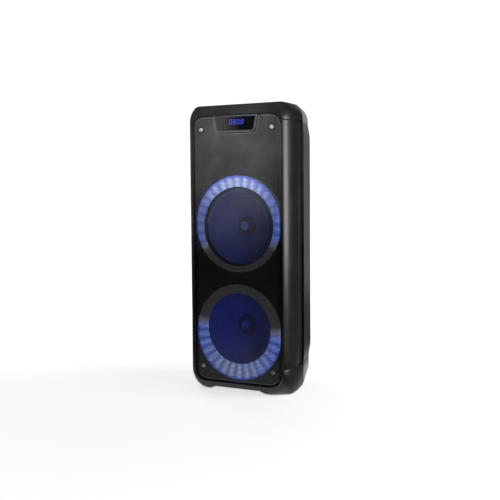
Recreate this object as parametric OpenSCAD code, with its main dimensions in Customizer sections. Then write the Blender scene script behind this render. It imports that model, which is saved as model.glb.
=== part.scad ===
// Party speaker: a tall portable cabinet with two 8 inch woofers, each ringed
// by an LED light guide, behind one perforated steel grille. Millimetres, +Z up.
// The origin is on the floor, in the middle of the overall width and depth.
// Inside each module y is the depth behind the front face; place() shifts it.

/* [Cabinet] */
// Overall height, standing on its rubber feet
body_h = 716; // [706:1:730]
// Overall width across the front housing
body_w = 278; // [276:1:286]
// Overall depth from the front face to the back
body_d = 240; // [236:1:250]
// Depth at which the front housing's side ends
front_d = 67; // [62:1:72]
// Wall thickness of the plastic mouldings
wall = 3.2; // [2.8:0.1:3.4]
// Height of the top cap
cap_h = 44; // [42:1:46]
// Height of the base cap
base_h = 68; // [66:1:70]
// Gap at the seams between mouldings
seam = 0.8; // [0.4:0.1:1.2]

/* [Front opening] */
// Half width of the opening at the front face
open_hw = 126.5; // [126:0.1:127]
// Height of the opening's lower edge
open_z0 = 22.5; // [21:0.5:24]
// Distance from the opening's upper edge to the top
open_top = 28; // [27:0.5:30]
// Depth of the grille's flat face
grille_y = 5; // [4.5:0.1:5.5]
// Thickness of the grille sheet
grille_t = 1.2; // [0.8:0.1:1.2]
// Half spacing of the grille screws across
screw_x = 100; // [99:0.5:101]

/* [Light rings] */
// Outer radius of a light ring
ring_r = 120; // [119:0.1:120.2]
// Height of the upper ring's centre
ring_z_upper = 420; // [418:1:422]
// Height of the lower ring's centre
ring_z_lower = 150; // [149:1:152]
// Radius of the upper ring's inner hole
hole_r_upper = 98.5; // [97:0.5:99]
// Radius of the lower ring's inner hole
hole_r_lower = 89; // [88:0.5:91]
// How far the upper hole sits below its ring's centre
hole_drop_upper = 6; // [5:0.5:6.5]
// How far the lower hole sits above its ring's centre
hole_rise_lower = 8.5; // [8:0.5:9]

/* [Woofers] */
// Height of the upper woofer's axis
woofer_z_upper = 415; // [414:1:416]
// Height of the lower woofer's axis
woofer_z_lower = 163; // [162:1:163]
// Outer radius of the steel frame
frame_r = 104; // [103:0.5:104]
// Radius of the voice coil former
coil_r = 17.6; // [17.2:0.1:17.8]

/* [Hidden] */
$fn = 96;

foot_h = 0.8;                    // the rubber feet stand this far below the base
panel_y = 29;                    // front face of the baffle panel
panel_t = 5;                     // thickness of the baffle panel
roll_d = 40;                     // depth over which the side rolls round
roll_in = 11.5;                  // how far the roll pulls the front face in
bottom_roll_d = 16;
bottom_roll_in = 8;
top_roll_d = 30;
top_roll_in = 11;
rear_roll_y = body_d - 32;       // where the rear edges, top and bottom, begin to round over
rear_z_in = 10;                  // how far they pull in at the back face
rear_r = 30;                     // radius of the two rear corners, seen from above
side_slope = 0.35;               // how much the side narrows for each mm of depth behind shell_y
switch_proud = 4.6;              // the power switch stands this far out of the back face
collar_in = 4;                   // depth of the groove between the two housings
shell_y = 105;                   // where the rear housing's full shell begins
shell_grow = 5.6;                // how far the rear shell stands proud of the caps
open_z1 = body_h - open_top;     // upper edge of the front opening
bevel_d = 12;                    // depth of the bevel inside the opening
bevel_in = 4;                    // how far that bevel narrows the opening
recess_hw = 121;                 // half width of the recess behind the bevel
screw_z_low = 59.5;
screw_z_high = body_h - 61;
z_base = base_h - seam / 2;      // top of the base cap
z_cap = body_h - cap_h + seam / 2; // bottom of the top cap
z_low = base_h + seam / 2;       // bottom of the housings
z_high = body_h - cap_h - seam / 2; // top of the housings
eps = 0.01;

plastic = [0.035, 0.035, 0.038];
gloss_black = [0.02, 0.02, 0.025];
steel = [0.62, 0.62, 0.64];
rubber = [0.03, 0.03, 0.03];
board_green = [0.05, 0.22, 0.12];
led_blue = [0.35, 0.45, 1.0];

// ---------------------------------------------------------------- helpers

module place() {
    translate([0, -(body_d + switch_proud) / 2, 0]) children();
}

// A quarter ellipse that falls from 1 at t = 0 to 0 at t = 1
function ease(t) = t >= 1 ? 0 : 1 - sqrt(1 - pow(1 - t, 2));

// The rear half's straight sides, and the corners that are tangent to them and to the back
function side_x(y) = body_w / 2 - 5 - side_slope * (y - shell_y);
side_norm = sqrt(1 + side_slope * side_slope);
rear_cx = side_x(body_d - rear_r) - rear_r * side_norm;
rear_cy = body_d - rear_r;
function rear_turn(inset) = rear_cy + (rear_r - inset) * side_slope / side_norm;
function rear_x(y, inset) = y <= rear_turn(inset) ? side_x(y) - inset * side_norm
    : rear_cx + sqrt(max(0, pow(rear_r - inset, 2) - pow(y - rear_cy, 2)));

// The cabinet's half width at depth y
function half_width(y) =
    y < roll_d ? body_w / 2 - roll_in * ease(y / roll_d)
    : y <= shell_y ? lookup(y, [[roll_d, body_w / 2], [front_d, body_w / 2 - 1], [shell_y, body_w / 2 - 5]])
    : rear_x(y, 0);

// The cabinet's lower and upper edges at depth y
function low_edge(y) = foot_h + bottom_roll_in * ease(y / bottom_roll_d)
    + rear_z_in * ease((body_d - y) / (body_d - rear_roll_y));
function high_edge(y) = body_h - top_roll_in * ease(y / top_roll_d)
    - rear_z_in * ease((body_d - y) / (body_d - rear_roll_y));

// The radius of the cabinet's lower corners at depth y
function low_corner(y) = lookup(y, [
    [0, 50], [14, 43], [roll_d, 9], [front_d, 14], [shell_y, 22], [rear_roll_y, 40], [body_d, 38]
]);

// Front view outline: round lower corners, and upper corners that are an arc cut off by the flat top
top_corner = 44;
top_corner_sweep = 55;
function arc(cx, cy, r, a0, a1, n) =
    [for (i = [0:n]) let (a = a0 + (a1 - a0) * i / n) [cx + r * cos(a), cy + r * sin(a)]];
function outline(hw, z0, z1, low_r, up_r = top_corner, sweep = top_corner_sweep) = concat(
    arc(hw - low_r, z0 + low_r, low_r, -90, 0, 9),
    arc(hw - up_r, z1 - up_r * sin(sweep), up_r, 0, sweep, 7),
    arc(-hw + up_r, z1 - up_r * sin(sweep), up_r, 180 - sweep, 180, 7),
    arc(-hw + low_r, z0 + low_r, low_r, 180, 270, 9)
);

// Stands a front view outline up in the XZ plane, from depth y back by t
module upright(y, t = eps) {
    translate([0, y + t, 0]) rotate([90, 0, 0]) linear_extrude(t) children();
}

SECTION_Y = [0, 0.8, 3.2, 7.5, 14, 24, roll_d, front_d, shell_y, rear_turn(0), 229, 236, body_d - eps];

// The cabinet's outer shape, or its inner one when inset is above 0
module envelope(inset = 0) {
    hull() for (y = SECTION_Y) {
        depth = inset + y * (body_d - 2 * inset) / body_d;
        upright(depth) polygon(outline(
            half_width(y) - inset, low_edge(y) + inset, high_edge(y) - inset,
            max(low_corner(y) - inset, 6), top_corner - inset
        ));
    }
}

// A box given by its two corners
module block(x0, x1, y0, y1, z0, z1) {
    translate([x0, y0, z0]) cube([x1 - x0, y1 - y0, z1 - z0]);
}

module level(z0, z1) {
    block(-body_w, body_w, -10, body_d + 10, z0, z1);
}

module opening_outline(inset) {
    polygon(outline(open_hw - inset, open_z0 + inset, open_z1 - inset, 36 - inset, 30 - inset, 90));
}

// The front opening: a bevelled mouth, then a straight recess for the grille and the rings
module front_opening() {
    hull() {
        upright(-1) opening_outline(-0.3);
        upright(bevel_d) opening_outline(bevel_in);
    }
    upright(bevel_d - eps, panel_y - bevel_d + eps) opening_outline(open_hw - recess_hw);
}

// The hollow inside the mouldings; a wall is left round the front opening
module cavity() {
    difference() {
        envelope(wall);
        upright(-1, panel_y + 1) opening_outline(-wall);
    }
}

// A hole or rod along the depth axis, from y0 back to y1
module rod_y(x, z, r, y0, y1) {
    translate([x, y1, z]) rotate([90, 0, 0]) cylinder(h = y1 - y0, r = r);
}

// Children are drawn with +Z towards the listener, standing on depth y at height z
module facing_front(z, y = panel_y, x = 0) {
    translate([x, y, z]) rotate([90, 0, 0]) children();
}

// Children are drawn with +Z out of the back
module facing_back(z, y, x = 0) {
    translate([x, y, z]) rotate([-90, 0, 0]) children();
}

module ring_of(count, r, turn = 0) {
    for (i = [0:count - 1]) rotate(turn + i * 360 / count) translate([r, 0, 0]) children();
}

module tube(h, r_out, r_in) {
    difference() {
        cylinder(h = h, r = r_out);
        translate([0, 0, -1]) cylinder(h = h + 2, r = r_in);
    }
}

// A flat plate with round corners, standing on z = 0
module rounded_plate(w, d, h, r) {
    linear_extrude(h) rounded(w, d, r);
}

module rounded(w, d, r) {
    square([w - 2 * r, d], center = true);
    square([w, d - 2 * r], center = true);
    for (sx = [-1, 1], sy = [-1, 1]) translate([sx * (w / 2 - r), sy * (d / 2 - r)]) circle(r, $fn = 32);
}

// A pan head screw whose head stands on z = 0 and whose shank goes down
module pan_screw(head_r, head_h, shank_r, length, socket_r = 0) {
    difference() {
        union() {
            rotate_extrude($fn = 48) polygon(concat([[0, 0], [head_r, 0]],
                [for (i = [0:6]) let (a = i * 15)
                    [head_r * (0.35 + 0.65 * cos(a)), head_h * (0.3 + 0.7 * sin(a))]],
                [[0, head_h]]));
            translate([0, 0, -length]) cylinder(h = length + 0.1, r = shank_r, $fn = 32);
        }
        if (socket_r > 0) translate([0, 0, head_h * 0.35]) cylinder(h = head_h, r = socket_r, $fn = 6);
    }
}

module at_grille_screws() {
    for (x = [-screw_x, screw_x], z = [screw_z_low, screw_z_high]) facing_front(z, grille_y, x) children();
}

// ---------------------------------------------------------------- cabinet

module front_housing() {
    color(plastic) difference() {
        union() {
            difference() {
                intersection() {
                    envelope();
                    block(-body_w, body_w, -1, front_d, z_low, z_high);
                }
                front_opening();
                cavity();
            }
            // baffle panel, moulded in one with the side rails
            block(-134, 134, panel_y, panel_y + panel_t, z_low + 1, z_high - 1);
            block(-recess_hw + 1, recess_hw - 1, panel_y, panel_y + panel_t, 28, open_z1 - 5);
            at_grille_screws() translate([0, 0, grille_y - panel_y - 0.01])
                cylinder(h = panel_y - grille_y - grille_t - 0.8, r = 5);
        }
        rod_y(0, woofer_z_upper, 95, 0, 60);
        rod_y(0, woofer_z_lower, 95, 0, 60);
        at_grille_screws() translate([0, 0, -30]) cylinder(h = 40, r = 2);
        for (z = [woofer_z_upper, woofer_z_lower]) facing_front(z, panel_y)
            ring_of(8, frame_r - 4.5, 22.5) translate([0, 0, -20]) cylinder(h = 30, r = 1.9, $fn = 24);
        // pass-throughs for the light and display leads
        rod_y(0, 555, 4, 0, 60);
        rod_y(0, 285, 4, 0, 60);
        block(-30, 30, panel_y - 1, 60, 655, 675);
    }
}

// Plan outline of the rear shell, which stands grow mm proud of the caps towards its back
module rear_plan(grow, inset) {
    corner = [for (a = [30:12:90]) rear_cy + (rear_r - inset) * sin(a)];
    right = [for (y = concat([shell_y + inset, rear_turn(inset)], corner))
        [rear_x(y, inset) + grow * (y < rear_cy ? 0.35 : 1), y]];
    left = [for (i = [len(right) - 1:-1:0]) [-right[i][0], right[i][1]]];
    polygon(concat(right, left));
}

module rear_shell(inset, over) {
    hull() for (h = [[z_low - over, 0], [100, shell_grow], [640, shell_grow], [z_high + over, 0]])
        translate([0, 0, h[0]]) linear_extrude(0.2) rear_plan(h[1], inset);
}

module rear_housing() {
    color(plastic) difference() {
        union() {
            rear_shell(0, -0.2);
            intersection() {
                envelope(collar_in);
                block(-body_w, body_w, 58, shell_y + 20, z_low, z_high);
            }
            // tongues that the two caps are screwed to
            block(-52, 52, 231.5, 236, z_high - 12, z_high + 20);
            block(-52, 52, 231.5, 236, z_low - 18, z_low + 12);
        }
        difference() {
            union() {
                rear_shell(wall, 1);
                intersection() {
                    envelope(collar_in + wall);
                    block(-body_w, body_w, 50, shell_y + 20, z_low - 1, z_high + 1);
                }
            }
            block(-52, 52, 231.5, 240, z_high - 12, z_high + 20);
            block(-52, 52, 231.5, 240, z_low - 18, z_low + 12);
        }
        // openings in the back
        rod_y(0, port_z, port_r + 2.2, 200, 260);
        facing_back(handle_z, 200) rounded_plate(handle_w - 14, handle_h - 14, 60, 12);
        facing_back(io_z, 200) rounded_plate(io_w - 12, io_h - 12, 60, 4);
        at_cap_screws() translate([0, 0, -30]) cylinder(h = 40, r = 1.6, $fn = 24);
        at_handle_screws() translate([0, 0, -30]) cylinder(h = 40, r = 1.6, $fn = 24);
        at_io_screws() translate([0, 0, -30]) cylinder(h = 40, r = 1.6, $fn = 24);
    }
}

arch_hw = 86;        // half width of the arch where it meets the floor
arch_flat = 63;      // half width of its flat roof
arch_z = 9;          // height of that roof
arch_d = 90;         // how far back the arch runs

module base_cap() {
    color(plastic) difference() {
        intersection() {
            envelope();
            level(0, z_base);
        }
        difference() {
            cavity();
            level(0, foot_h + wall + 1);
            block(-arch_hw - wall, arch_hw + wall, 0, arch_d + wall, 0, arch_z + wall);
        }
        front_opening();
        // clearance for the baffle panel's lower end
        block(-recess_hw, recess_hw, panel_y - 1, panel_y + panel_t + 0.5, 27, base_h + 5);
        // arch between the front feet
        upright(-1, arch_d + 1) polygon([
            [-arch_hw, -1], [-arch_hw, foot_h], [-arch_flat, arch_z],
            [arch_flat, arch_z], [arch_hw, foot_h], [arch_hw, -1]
        ]);
        at_feet() translate([0, 0, -1]) cylinder(h = foot_h + 2.5, r = foot_r + 0.15);
        at_cap_screws() translate([0, 0, -3]) cylinder(h = 20, r = 2.2, $fn = 24);
        at_cap_screws() translate([0, 0, -0.2]) cylinder(h = 20, r = 4.4, $fn = 32);
    }
}

foot_r = 9;

// Rear feet stand closer together, under the narrower back
module at_feet() {
    for (s = [-1, 1]) {
        translate([s * 104, 36, 0]) children();
        translate([s * 48, 198, 0]) children();
    }
}

module rubber_feet() {
    color(rubber) at_feet() cylinder(h = foot_h + 1.4, r = foot_r);
}

tray_hw = 90;
tray_y0 = 52;
tray_y1 = 176;
tray_floor = body_h - 19;
panel_z = tray_floor + 3;

module top_cap() {
    color(plastic) difference() {
        union() {
            difference() {
                intersection() {
                    envelope();
                    level(z_cap, body_h + 1);
                }
                cavity();
            }
            for (x = [-85, 85], y = [board_y0 + 6, board_y1 - 6])
                translate([x, y, board_z + 1.65]) cylinder(h = tray_floor - board_z, r = 2.8, $fn = 32);
            block(-tray_hw, tray_hw, tray_y0, tray_y1, tray_floor, body_h - 1);
        }
        front_opening();
        block(-recess_hw, recess_hw, bevel_d, panel_y + panel_t + 0.5, z_cap - 5, open_z1 - 3);
        // the tray that holds the controls, and the window under the control panel
        translate([0, (tray_y0 + tray_y1) / 2, panel_z])
            rounded_plate(2 * tray_hw - 6, tray_y1 - tray_y0 - 6, 40, 8);
        translate([0, (tray_y0 + tray_y1) / 2, tray_floor - 1])
            rounded_plate(2 * tray_hw - 18, tray_y1 - tray_y0 - 18, 10, 6);
        at_cap_screws() translate([0, 0, -3]) cylinder(h = 20, r = 2.2, $fn = 24);
        at_cap_screws() translate([0, 0, -0.2]) cylinder(h = 20, r = 4.4, $fn = 32);
    }
}

cap_screw_y = body_d - 1.6;

module at_cap_screws() {
    for (x = [-40, 40], z = [z_base - 9, z_cap + 10]) facing_back(z, cap_screw_y, x) children();
}

// ---------------------------------------------------------------- grille

bend_x = 110;       // the sheet is flat up to here, then bends back
bend_r = 16;
grille_hw = 122.2;

function grille_bend(r) =
    [for (i = [0:8]) let (a = i * asin((grille_hw - bend_x) / bend_r) / 8)
        [bend_x + r * sin(a), grille_y + bend_r - r * cos(a)]];

module grille_section() {
    front = grille_bend(bend_r);
    back = grille_bend(bend_r - grille_t);
    right = concat(front, [for (i = [8:-1:0]) back[i]]);
    left_front = [for (i = [8:-1:0]) [-front[i][0], front[i][1]]];
    left_back = [for (i = [0:8]) [-back[i][0], back[i][1]]];
    polygon(concat(left_back, left_front, right));
}

display_gap = 1.2;

module front_grille() {
    color([0.06, 0.06, 0.065]) difference() {
        intersection() {
            linear_extrude(body_h) grille_section();
            upright(-1, 30) polygon(outline(grille_hw - 0.2, open_z0 + 3.2, open_z1 - 2.6, 35, 29, 90));
        }
        upright(-1, 30) display_outline(display_gap);
        at_grille_screws() translate([0, 0, -5]) cylinder(h = 10, r = 2.3, $fn = 32);
    }
}

module grille_screws() {
    color(steel) at_grille_screws() pan_screw(5.4, 3, 1.9, 24, 2.1);
}

// ---------------------------------------------------------------- display

display_z0 = body_h - 71.5;
display_top = open_z1 + 0.7;

// A tab that narrows downwards, with round lower corners; its top meets the cap
module display_outline(grow) {
    r = 11 + grow;
    top_hw = 62.5 + grow;
    low_hw = 57 + grow;
    polygon(concat(
        [[-top_hw, display_top], [top_hw, display_top]],
        arc(low_hw - r, display_z0 - grow + r, r, 0, -90, 8),
        arc(-low_hw + r, display_z0 - grow + r, r, -90, -180, 8)
    ));
}

// Everything below a line that follows the opening's upper bevel, less gap
module under_bevel(gap) {
    rotate([90, 0, 90]) translate([0, 0, -80]) linear_extrude(160) polygon([
        [-1, 0], [-1, open_z1 - gap], [bevel_d, open_z1 - bevel_in - gap],
        [panel_y, open_z1 - bevel_in - gap], [panel_y, 0]
    ]);
}

module display_bezel() {
    depth = panel_y - 0.7;
    color(plastic) {
        difference() {
            intersection() {
                upright(0.6, depth) display_outline(0);
                under_bevel(0.6);
            }
            intersection() {
                upright(0, panel_y + 1) display_outline(-3);
                under_bevel(2.6);
            }
        }
        // cross bars that carry the display module
        for (z = [display_mid_z - 7, display_mid_z + 7]) block(-56, 56, 12.65, 14.5, z - 1.5, z + 1.5);
    }
}

module display_window() {
    color(gloss_black) intersection() {
        upright(2.4, 2) display_outline(-3.1);
        under_bevel(2.7);
    }
}

display_mid_z = 671 + (body_h - 716);

module display_module() {
    color(board_green) block(-38, 38, 11, 12.6, display_mid_z - 10, display_mid_z + 10);
    color([0.08, 0.08, 0.08]) block(-28, 28, 5.4, 10.9, display_mid_z - 9, display_mid_z + 9);
}

digit_w = 7.2;
digit_h = 12.6;
digit_pitch = 10.8;
bar = 1.5;

// One seven segment figure with every bar lit
module digit() {
    for (z = [-1, 0, 1]) translate([0, z * (digit_h - bar) / 2, 0])
        square([digit_w - 2 * bar - 0.3, bar], center = true);
    for (x = [-1, 1], z = [-1, 1])
        translate([x * (digit_w - bar) / 2, z * (digit_h / 4 + 0.1), 0])
            square([bar, digit_h / 2 - bar * 0.6 - 0.6], center = true);
}

module display_digits() {
    color(led_blue) for (i = [0:3]) facing_front(display_mid_z, 5.35, (i - 1.5) * digit_pitch + 2)
        linear_extrude(0.5) digit();
}

// ---------------------------------------------------------------- light rings

ring_edge_y = 10.4;   // depth of the ring's outer rim
ring_cone = 3.2;      // how much deeper its face is 30 mm further in
ring_t = 2.2;

module light_ring(ring_z, hole_z, hole_r) {
    rim = panel_y - ring_edge_y;
    inner = ring_r - 40;
    color([0.9, 0.92, 1.0]) difference() {
        facing_front(ring_z) rotate_extrude() polygon([
            [ring_r, 0.1], [ring_r, rim - 1.2], [ring_r - 1.2, rim],
            [inner, rim - ring_cone * 40 / 30], [inner, rim - ring_cone * 40 / 30 - ring_t],
            [ring_r - 2.2, rim - ring_t - 0.2], [ring_r - 2.2, 0.1]
        ]);
        rod_y(0, hole_z, hole_r, 0, 40);
    }
}

module light_ring_upper() {
    light_ring(ring_z_upper, ring_z_upper - hole_drop_upper, hole_r_upper);
}

module light_ring_lower() {
    light_ring(ring_z_lower, ring_z_lower + hole_rise_lower, hole_r_lower);
}

led_r = 112;
led_step = 12;

// A pie slice of the sector that holds the board, from angle a0 to a1
module sector(a0, a1, r) {
    polygon(concat([[0, 0]], arc(0, 0, r, a0, a1, 24)));
}

// Flexible board on the baffle, with a lamp every led_step degrees
module led_board(z, a0) {
    color([0.85, 0.85, 0.85]) facing_front(z) translate([0, 0, 0.6]) linear_extrude(1.6) intersection() {
        difference() {
            circle(117);
            circle(107);
        }
        sector(a0, a0 + 210, 140);
    }
    color(led_blue) facing_front(z) for (i = [0:16]) rotate(a0 + 9 + i * led_step)
        translate([led_r, 0, 2.25 + 0.8]) cube([5, 5, 1.6], center = true);
}

module led_board_upper() { led_board(ring_z_upper, -15); }
module led_board_lower() { led_board(ring_z_lower, 165); }

// ---------------------------------------------------------------- woofers
// Drawn about the driver's axis, +Z towards the listener, z = 0 on the baffle

gasket_t = 1.2;
flange_top = 3.6;
cone_r = 78;
cone_top = 1;
neck_z = -30;
cone_slope = (cone_top - neck_z) / (cone_r - coil_r);
function cone_z(r) = neck_z + (r - coil_r) * cone_slope;
basket_low = -62;
plate_t = 6;
magnet_t = 18;
gap_r = coil_r + 1.3;
pole_r = coil_r - 1.1;
cap_r = 26;
cap_rise = 16;

module screw_circle() {
    ring_of(8, frame_r - 4.5, 22.5) children();
}

module woofer_frame() {
    color([0.12, 0.12, 0.13]) difference() {
        union() {
            rotate_extrude() polygon([
                [90, gasket_t], [frame_r, gasket_t], [frame_r, flange_top], [90.5, flange_top],
                [88, flange_top - 2], [66, -40], [64, -43], [55, -43], [55, -45], [61, -45],
                [52, basket_low + 2], [30, basket_low + 2], [30, basket_low], [53.5, basket_low],
                [68, -41], [89.5, 0.4]
            ]);
        }
        // eight windows between the legs
        ring_of(8, 0, 0) for (z = [-52, -24])
            translate([75, 0, z]) cube([60, z < -40 ? 26 : 44, z < -40 ? 9 : 24], center = true);
        screw_circle() translate([0, 0, -5]) cylinder(h = 12, r = 2.3, $fn = 24);
    }
}

module woofer_gasket() {
    color(rubber) difference() {
        tube(gasket_t, frame_r, 95.2);
        screw_circle() translate([0, 0, -5]) cylinder(h = 12, r = 2.1, $fn = 24);
    }
}

module woofer_plate() {
    color(steel) translate([0, 0, basket_low - plate_t]) tube(plate_t, 50, gap_r);
}

// Ferrite ring between the steel front plate and the yoke
module woofer_magnet() {
    color([0.16, 0.16, 0.17]) translate([0, 0, basket_low - plate_t - magnet_t]) tube(magnet_t, 60, 30);
}

module woofer_yoke() {
    color(steel) translate([0, 0, basket_low - 2 * plate_t - magnet_t]) difference() {
        union() {
            cylinder(h = plate_t, r = 50);
            cylinder(h = 2 * plate_t + magnet_t, r = pole_r);
        }
        translate([0, 0, -1]) cylinder(h = 60, r = 6, $fn = 48);
    }
}

module woofer_cone() {
    t = 1.1;
    color([0.05, 0.07, 0.2]) rotate_extrude() polygon([
        [coil_r + 0.05, neck_z], [cone_r, cone_top], [cone_r, cone_top - t], [coil_r + 0.05, neck_z - t - 1.5]
    ]);
}

// A domed cap with a raised centre button, glued on the cone over the coil
module dust_cap() {
    low = cone_z(cap_r) + 0.05;
    apex = low + cap_rise;
    t = 0.8;
    outer = [for (i = [0:12]) let (a = i * 7.5) [cap_r * cos(a), low + (cap_rise - 4) * sin(a)]];
    inner = [for (i = [12:-1:0]) let (a = i * 7.5)
        [max(0, (cap_r - t) * cos(a)), low + (cap_rise - 4 - t) * sin(a)]];
    color(rubber) {
        difference() {
            rotate_extrude() polygon(concat(outer, inner));
            translate([0, 0, apex - 8]) cylinder(h = 20, r = 11);
        }
        translate([0, 0, apex - 5.6]) rotate_extrude() polygon(concat([[0, 0], [11, 0]],
            [for (i = [0:8]) let (a = i * 11.25) [11 * cos(a), 1 + 4.6 * sin(a)]]));
    }
}

module voice_coil() {
    color([0.72, 0.4, 0.2]) {
        translate([0, 0, -80]) tube(80 + neck_z + 1, coil_r, coil_r - 0.3);
    }
    color([0.72, 0.4, 0.2]) translate([0, 0, -73]) tube(14, coil_r + 0.7, coil_r + 0.02);
}

module surround() {
    roll_r = 5.6;
    mid = (cone_r + 1 + 90.6) / 2;
    t = 0.8;
    base = flange_top + 0.05;
    outer = [for (i = [0:16]) let (a = 180 - i * 11.25)
        [mid + (roll_r + t / 2) * cos(a), base + t / 2 + (roll_r + t / 2) * sin(a)]];
    inner = [for (i = [16:-1:0]) let (a = 180 - i * 11.25)
        [mid + (roll_r - t / 2) * cos(a), base + t / 2 + (roll_r - t / 2) * sin(a)]];
    color(rubber) {
        rotate_extrude() polygon(concat(
            [[cone_r - 5, cone_z(cone_r - 5) + 0.05], [cone_r - 5, cone_z(cone_r - 5) + t],
            [cone_r - 0.3, cone_top + t + 0.1]],
            [for (p = outer) if (p[1] > base + 1.2 || p[0] > mid) p],
            [[95.2, base + t], [95.2, base]],
            [for (p = inner) if (p[1] > base + 1.2 || p[0] > mid) p],
            [[cone_r + 0.05, cone_z(cone_r + 0.05) + 0.05]]
        ));
    }
}

module spider() {
    t = 0.6;
    n = 36;
    top = [for (i = [0:n]) let (f = i / n)
        [coil_r + 0.2 + f * (58 - coil_r), -42.3 + (f > 0.9 || f < 0.06 ? 0 : 1.3 * sin(f * 360 * 4.5))]];
    color([0.75, 0.6, 0.3]) rotate_extrude()
        polygon(concat(top, [for (i = [n:-1:0]) [top[i][0], top[i][1] - t]]));
}

module at_upper() { facing_front(woofer_z_upper) children(); }
module at_lower() { facing_front(woofer_z_lower) children(); }

module woofer_screws() {
    color(steel) for (z = [woofer_z_upper, woofer_z_lower]) facing_front(z)
        screw_circle() translate([0, 0, flange_top]) pan_screw(3.6, 2.2, 1.8, 12);
}

// ---------------------------------------------------------------- controls

knob_y = 138;
button_y = 78;
button_w = 20;
button_d = 10;
side_knob_x = 60;
panel_top = panel_z + 2.5;
board_z = tray_floor - 12;
shaft_z = board_z + 3.2;         // lower end of the knobs' shafts

function button_x(i) = (i - 2.5) * 26;

module control_panel() {
    color(gloss_black) difference() {
        translate([0, (tray_y0 + tray_y1) / 2, panel_z])
            rounded_plate(2 * tray_hw - 7, tray_y1 - tray_y0 - 7, 2.5, 7.5);
        translate([0, knob_y, 0]) cylinder(h = 800, r = 4.2);
        for (s = [-1, 1]) translate([s * side_knob_x, knob_y, 0]) cylinder(h = 800, r = 4.2);
        for (i = [0:5]) translate([button_x(i), button_y, 0])
            rounded_plate(button_w + 0.6, button_d + 0.6, 800, 2.3);
    }
}

board_y0 = tray_y0 + 11;
board_y1 = tray_y1 - 11;

module control_board() {
    color(board_green) block(-88, 88, board_y0, board_y1, board_z, board_z + 1.6);
    color([0.1, 0.1, 0.1]) for (i = [0:5]) translate([button_x(i), button_y, board_z + 3.7])
        cube([6, 6, 4], center = true);
    color(steel) for (s = [-1, 1]) translate([s * side_knob_x, knob_y, board_z + 1.7]) difference() {
        translate([-6, -6, 0]) cube([12, 12, 7]);
        translate([0, 0, 1]) cylinder(h = 10, r = 3.05);
    }
    color(steel) translate([0, knob_y, board_z + 1.7]) difference() {
        translate([-7, -7, 0]) cube([14, 14, 7]);
        translate([0, 0, 1]) cylinder(h = 10, r = 3.05);
    }
}

// A ribbed knob with a pointer mark, moulded in one with its shaft
module knob(x, r, h, ribs) {
    color(gloss_black) translate([x, knob_y, panel_top + 0.4]) {
        difference() {
            union() {
                rotate_extrude() polygon([[0, 0], [r, 0], [r, h - 1.5], [r - 1.5, h], [0, h]]);
                ring_of(ribs, r - 0.35) cylinder(h = h - 2, r = 0.8, $fn = 16);
            }
            translate([-0.6, r * 0.5, h - 0.5]) cube([1.2, r * 0.35, 2]);
        }
        translate([0, 0, shaft_z - panel_top - 0.4]) cylinder(h = panel_top + 1 - shaft_z, r = 3);
    }
}

module volume_knob() { knob(0, 20, 12.4, 36); }
module mic_knob() { knob(-side_knob_x, 8, 11, 18); }
module echo_knob() { knob(side_knob_x, 8, 11, 18); }

button_throw = 1.2;

module button(i) {
    color([0.07, 0.07, 0.075]) translate([button_x(i), button_y, 0]) {
        translate([0, 0, panel_z - 2.2]) rounded_plate(button_w, button_d, panel_top - panel_z + 4.2, 2);
        translate([0, 0, panel_z - 3.2]) rounded_plate(button_w + 3, button_d + 3, 1.01, 2);
        translate([0, 0, board_z + 5.9 + button_throw])
            cylinder(h = panel_z - board_z - 8.5 - button_throw, r = 2, $fn = 32);
    }
}

module button_mode() { button(0); }
module button_previous() { button(1); }
module button_play() { button(2); }
module button_next() { button(3); }
module button_light() { button(4); }
module button_record() { button(5); }

// ---------------------------------------------------------------- back panel

port_z = 289;
port_r = 28;
io_z = 165;
io_w = 118;
io_h = 104;
handle_z = 596;
handle_w = 128;
handle_h = 58;
back_y = body_d;             // outside of the back wall
skin = 2.2;                  // thickness of the plates fixed on the back
mic_x = [-40, -14];
jack_z = io_z + 30;
inlet_x = -26;
inlet_z = io_z - 24;
switch_x = 34;
switch_z = io_z - 24;
usb_x = 40;

module at_io_screws() {
    for (x = [-1, 1], z = [-1, 1])
        facing_back(io_z + z * (io_h / 2 - 4.5), back_y + skin, x * (io_w / 2 - 4.5)) children();
}

module at_handle_screws() {
    for (x = [-1, 1]) facing_back(handle_z, back_y + skin, x * (handle_w / 2 - 4)) children();
}

module rear_panel() {
    color(plastic) difference() {
        union() {
            facing_back(io_z, back_y + 0.05) rounded_plate(io_w, io_h, skin, 5);
            // box that holds the power switch's rocker
            block(switch_x - 9.2, switch_x + 9.2, 226, back_y + 1, switch_z - 13, switch_z + 13);
        }
        translate([switch_x, switch_pivot_y, switch_z]) rotate([0, 90, 0]) translate([0, 0, -8.4])
            cylinder(h = 16.8, r = 1.56, $fn = 48);
        at_io_screws() translate([0, 0, -10]) cylinder(h = 20, r = 2, $fn = 24);
        for (x = mic_x) rod_y(x, jack_z, 6.2, 200, 260);
        rod_y(14, jack_z, 4.2, 200, 260);
        block(usb_x - 7, usb_x + 7, 200, 260, jack_z - 3.6, jack_z + 3.6);
        block(inlet_x - 14.2, inlet_x + 14.2, 200, 260, inlet_z - 10.2, inlet_z + 10.2);
        block(switch_x - 7.2, switch_x + 7.2, 200, 260, switch_z - 11.2, switch_z + 11.2);
    }
}

// Two 6.35 mm microphone jacks and one 3.5 mm line jack
module audio_sockets() {
    color([0.05, 0.05, 0.05]) {
        for (x = mic_x) difference() {
            union() {
                rod_y(x, jack_z, 6, 236, 243.4);
                rod_y(x, jack_z, 8, 212, 236.1);
            }
            rod_y(x, jack_z, 3.25, 215, 250);
        }
        difference() {
            union() {
                rod_y(14, jack_z, 4, 236, 243.4);
                rod_y(14, jack_z, 5.5, 220, 236.1);
            }
            rod_y(14, jack_z, 1.8, 224, 250);
        }
    }
}

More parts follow.
